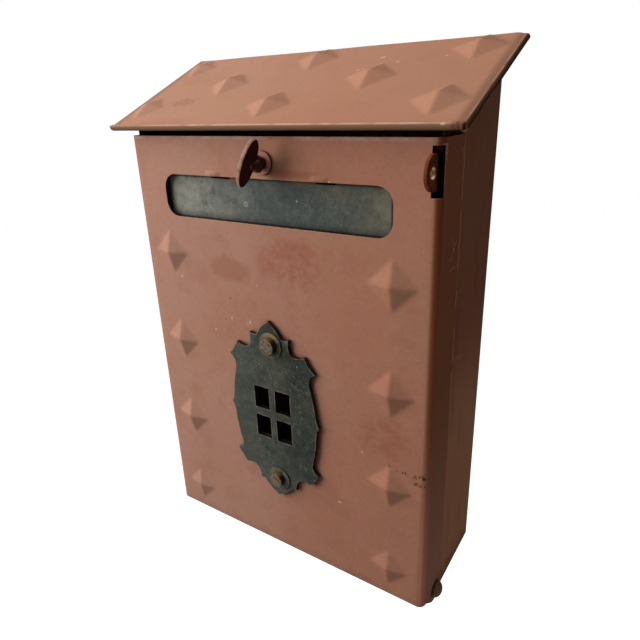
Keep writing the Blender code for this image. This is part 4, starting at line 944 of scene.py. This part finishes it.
def rivet_iron():
    """Grey-brown painted rivet heads with dark pits, darkened at their foot by the flange as painted shade."""
    p = Paint("rivet_iron", roughness=0.6, specular=0.04)
    colour = p.mix(p.step(p.noise(4.0, 4, 0.6), 0.4, 0.62), rgb(132, 106, 86), rgb(112, 86, 68))
    # Dark at the heads' foot by the flange: painted shade.
    foot = p.step(p.math('ABSOLUTE', p.x), 122.0, 120.6)
    colour = p.mix(p.math('MULTIPLY', foot, 0.8), colour, rgb(44, 24, 18))
    pits = p.product(p.specks(3.0, 0.4, 0.35, 5.0), 0.6)
    colour = p.mix(pits, colour, rgb(40, 24, 18))
    return p.finish(colour, None, p.bump(p.noise(2.0, 4, 0.65, 3.0), 0.12))


def ear_iron():
    """The padlock lug: brown paint, pale where the shackle has rubbed round its hole."""
    p = Paint("ear_iron", roughness=0.55, specular=0.0)
    colour = p.mix(p.step(p.noise(6.0, 4, 0.6), 0.4, 0.62), rgb(118, 66, 40), rgb(98, 54, 34))
    around = p.spots([((115.0, FRONT - 3.7, 301.2), (9.0, 5.0, 5.2))], 0.25, 0.7, 3.0)
    colour = p.mix(p.math('MULTIPLY', around, 0.3), colour, rgb(140, 96, 72))
    # Pale edges: wear, and painted highlights.
    worn = p.product(p.edges(0.5), p.step(p.noise(3.0, 4, 0.65, 25.0), 0.42, 0.56), 0.7)
    colour = p.mix(worn, colour, rgb(176, 140, 116))
    pits = p.product(p.specks(4.0, 0.5, 0.4, 5.0), 0.7)
    colour = p.mix(pits, colour, rgb(34, 18, 14))
    hole = p.product(p.within((112.0, -102.6, 298.2), (121.0, -96.8, 304.2), 0.4),
                     p.step(p.math('ABSOLUTE', p.nx), 0.6, 0.3))
    colour = p.mix(hole, colour, rgb(178, 152, 122))
    # Near black where the lug lies behind the door's face: painted shade inside the hasp slot.
    behind = p.step(p.y, FRONT + 0.5, FRONT + 2.5)
    colour = p.mix(p.math('MULTIPLY', behind, 0.85), colour, rgb(24, 12, 8))
    return p.finish(colour, None, p.bump(p.noise(2.0, 4, 0.65, 3.0), 0.12))


def rusty_steel():
    p = Paint("rusty_steel", roughness=0.75)
    colour = p.mix(p.step(p.noise(4.0, 5, 0.65), 0.4, 0.6), rgb(126, 72, 42), rgb(84, 54, 42))
    colour = p.mix(p.product(p.edges(0.5), 0.5), colour, rgb(132, 116, 102))
    colour = p.mix(p.product(p.specks(2.0, 0.4, 0.4, 3.0), 0.7), colour, rgb(46, 28, 20))
    return p.finish(colour, None, p.bump(p.noise(1.1, 4, 0.7), 0.15))


def dress(names, material):
    for name in names:
        mesh = NODES[name].data
        mesh.materials.clear()
        mesh.materials.append(material)


# Softer forms for cast and worn pieces
def weld(item):
    join = item.modifiers.new("weld", 'WELD')
    join.merge_threshold = 0.01 * MM


def round_edges(name, width, segments=2):
    """Small rounds on a node's sharp edges."""
    item = NODES[name]
    weld(item)
    bevel = item.modifiers.new("rounds", 'BEVEL')
    bevel.width = width * MM
    bevel.segments = segments
    bevel.limit_method = 'ANGLE'
    bevel.angle_limit = math.radians(40.0)


def cast(name, voxel, smooth, dent, grain):
    """A node remeshed fine and smoothed, with its surface dented a little inwards."""
    item = NODES[name]
    weld(item)
    remesh = item.modifiers.new("fine", 'REMESH')
    remesh.mode = 'VOXEL'
    remesh.voxel_size = voxel * MM
    remesh.use_smooth_shade = True
    soften = item.modifiers.new("soften", 'SMOOTH')
    soften.factor = 0.5
    soften.iterations = smooth
    lumps = bpy.data.textures.new(name + "_lumps", 'CLOUDS')
    lumps.noise_scale = grain * MM
    lumps.noise_depth = 2
    press = item.modifiers.new("dents", 'DISPLACE')
    press.texture = lumps
    press.texture_coords = 'LOCAL'
    press.strength = dent * MM
    press.mid_level = 1.0


def make_looks():
    door = make_door_skin()
    door.data.materials.append(door_paint())
    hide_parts("door_panel")
    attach(door, "door")
    roof = make_roof_skin()
    roof.data.materials.append(roof_paint())
    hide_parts("roof_panel")
    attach(roof, "box")

    dress(["body_shell"], body_paint())
    dress(["floor_panel", "header_strip"], brown_paint())
    dress(["mail_flap"], zinc())
    dress(["crest_plate"], patina())
    dress(["crest_stud_bottom", "crest_stud_top", "crest_washer_bottom", "crest_washer_top"], brass())
    dress(["latch_knob"], knob_iron())
    dress(["latch_collar"], collar_iron())
    dress(["hasp_rivet_lower", "hasp_rivet_upper", "hinge_rivet_left", "hinge_rivet_right"], rivet_iron())
    dress(["hasp_ear"], ear_iron())
    dress(["hinge_washer_left", "hinge_washer_right", "latch_cam", "latch_cup_spring", "latch_nut",
           "flap_wire", "flap_clip_left", "flap_clip_right", "crest_nut_bottom", "crest_nut_top"],
          rusty_steel())
    cast("latch_knob", 0.45, 3, 0.2, 3.0)
    for name in ("crest_stud_bottom", "crest_stud_top"):
        cast(name, 0.27, 1, 0.2, 2.2)
    round_edges("crest_plate", 0.5)
    cast("hasp_ear", 0.35, 1, 0.3, 3.0)


# Stage
def look_at(item, az, el, roll):
    """Turns an item to look back along azimuth and elevation, in degrees, at a roll."""
    a, e, r = math.radians(az), math.radians(el), math.radians(roll)
    back = Vector((math.sin(a) * math.cos(e), -math.cos(a) * math.cos(e), math.sin(e)))
    right = (-back).cross(Vector((0.0, 0.0, 1.0))).normalized()
    up = right.cross(-back)
    turned_right = right * math.cos(r) + up * math.sin(r)
    turned_up = up * math.cos(r) - right * math.sin(r)
    item.matrix_world = Matrix.Translation(item.location) @ Matrix(
        (turned_right, turned_up, back)).transposed().to_4x4()


def make_camera():
    camera = bpy.data.objects.new("camera", bpy.data.cameras.new("camera"))
    bpy.context.scene.collection.objects.link(camera)
    camera.data.sensor_width = 36.0
    camera.data.lens = 31.3335
    camera.data.clip_start = 0.01
    camera.location = (0.23001, -0.37314, 0.33756)
    look_at(camera, 34.35, 21.48, -2.02)
    bpy.context.scene.camera = camera


def make_light(name, place, target, size, power, colour=(1.0, 1.0, 1.0)):
    data = bpy.data.lights.new(name, 'AREA')
    data.size = size
    data.energy = power
    data.color = colour
    light = bpy.data.objects.new(name, data)
    bpy.context.scene.collection.objects.link(light)
    light.location = place
    light.rotation_euler = (Vector(target) - Vector(place)).to_track_quat('-Z', 'Y').to_euler()


def seen_share(tree):
    """1 for camera, glossy and transmission rays, which see the backdrop, and 0 for light."""
    path = tree.nodes.new("ShaderNodeLightPath")
    total = path.outputs["Is Camera Ray"]
    for name in ("Is Glossy Ray", "Is Transmission Ray"):
        more = tree.nodes.new("ShaderNodeMath")
        more.operation = 'MAXIMUM'
        tree.links.new(total, more.inputs[0])
        tree.links.new(path.outputs[name], more.inputs[1])
        total = more.outputs[0]
    return total


def make_world():
    world = bpy.data.worlds.new("studio")
    bpy.context.scene.world = world
    world.use_nodes = True
    tree = world.node_tree
    level = tree.nodes.new("ShaderNodeMapRange")
    level.inputs["To Min"].default_value = 0.12
    level.inputs["To Max"].default_value = 1.0
    tree.links.new(seen_share(tree), level.inputs["Value"])
    tree.links.new(level.outputs[0], tree.nodes["Background"].inputs["Strength"])
    tree.nodes["Background"].inputs["Color"].default_value = (1.0, 1.0, 1.0, 1.0)


def make_floor():
    bm = bmesh.new()
    bmesh.ops.create_grid(bm, x_segments=1, y_segments=1, size=6.0)
    mesh = bpy.data.meshes.new("floor")
    bm.to_mesh(mesh)
    bm.free()
    floor = linked("floor", mesh)
    floor.location = (0.0, 0.0, -1.0)
    material = bpy.data.materials.new("pale_floor")
    material.use_nodes = True
    tree = material.node_tree
    shader = tree.nodes["Principled BSDF"]
    shader.inputs["Base Color"].default_value = (0.9, 0.9, 0.9, 1.0)
    shader.inputs["Roughness"].default_value = 0.9
    shader.inputs["Emission Color"].default_value = (1.0, 1.0, 1.0, 1.0)
    lift = tree.nodes.new("ShaderNodeMath")
    lift.operation = 'MULTIPLY'
    lift.inputs[1].default_value = 0.88
    tree.links.new(seen_share(tree), lift.inputs[0])
    tree.links.new(lift.outputs[0], shader.inputs["Emission Strength"])
    mesh.materials.append(material)


make_looks()
make_camera()
make_world()
make_floor()
make_light("key", (-0.82, -0.646, 0.5475), (0.0, -0.1, 0.18), 0.9, 17.4, (1.0, 0.985, 0.965))
make_light("overhead", (-0.15, -0.3, 1.2), (0.0, -0.05, 0.3), 0.7, 6.1)
bpy.context.scene.view_settings.view_transform = 'Standard'
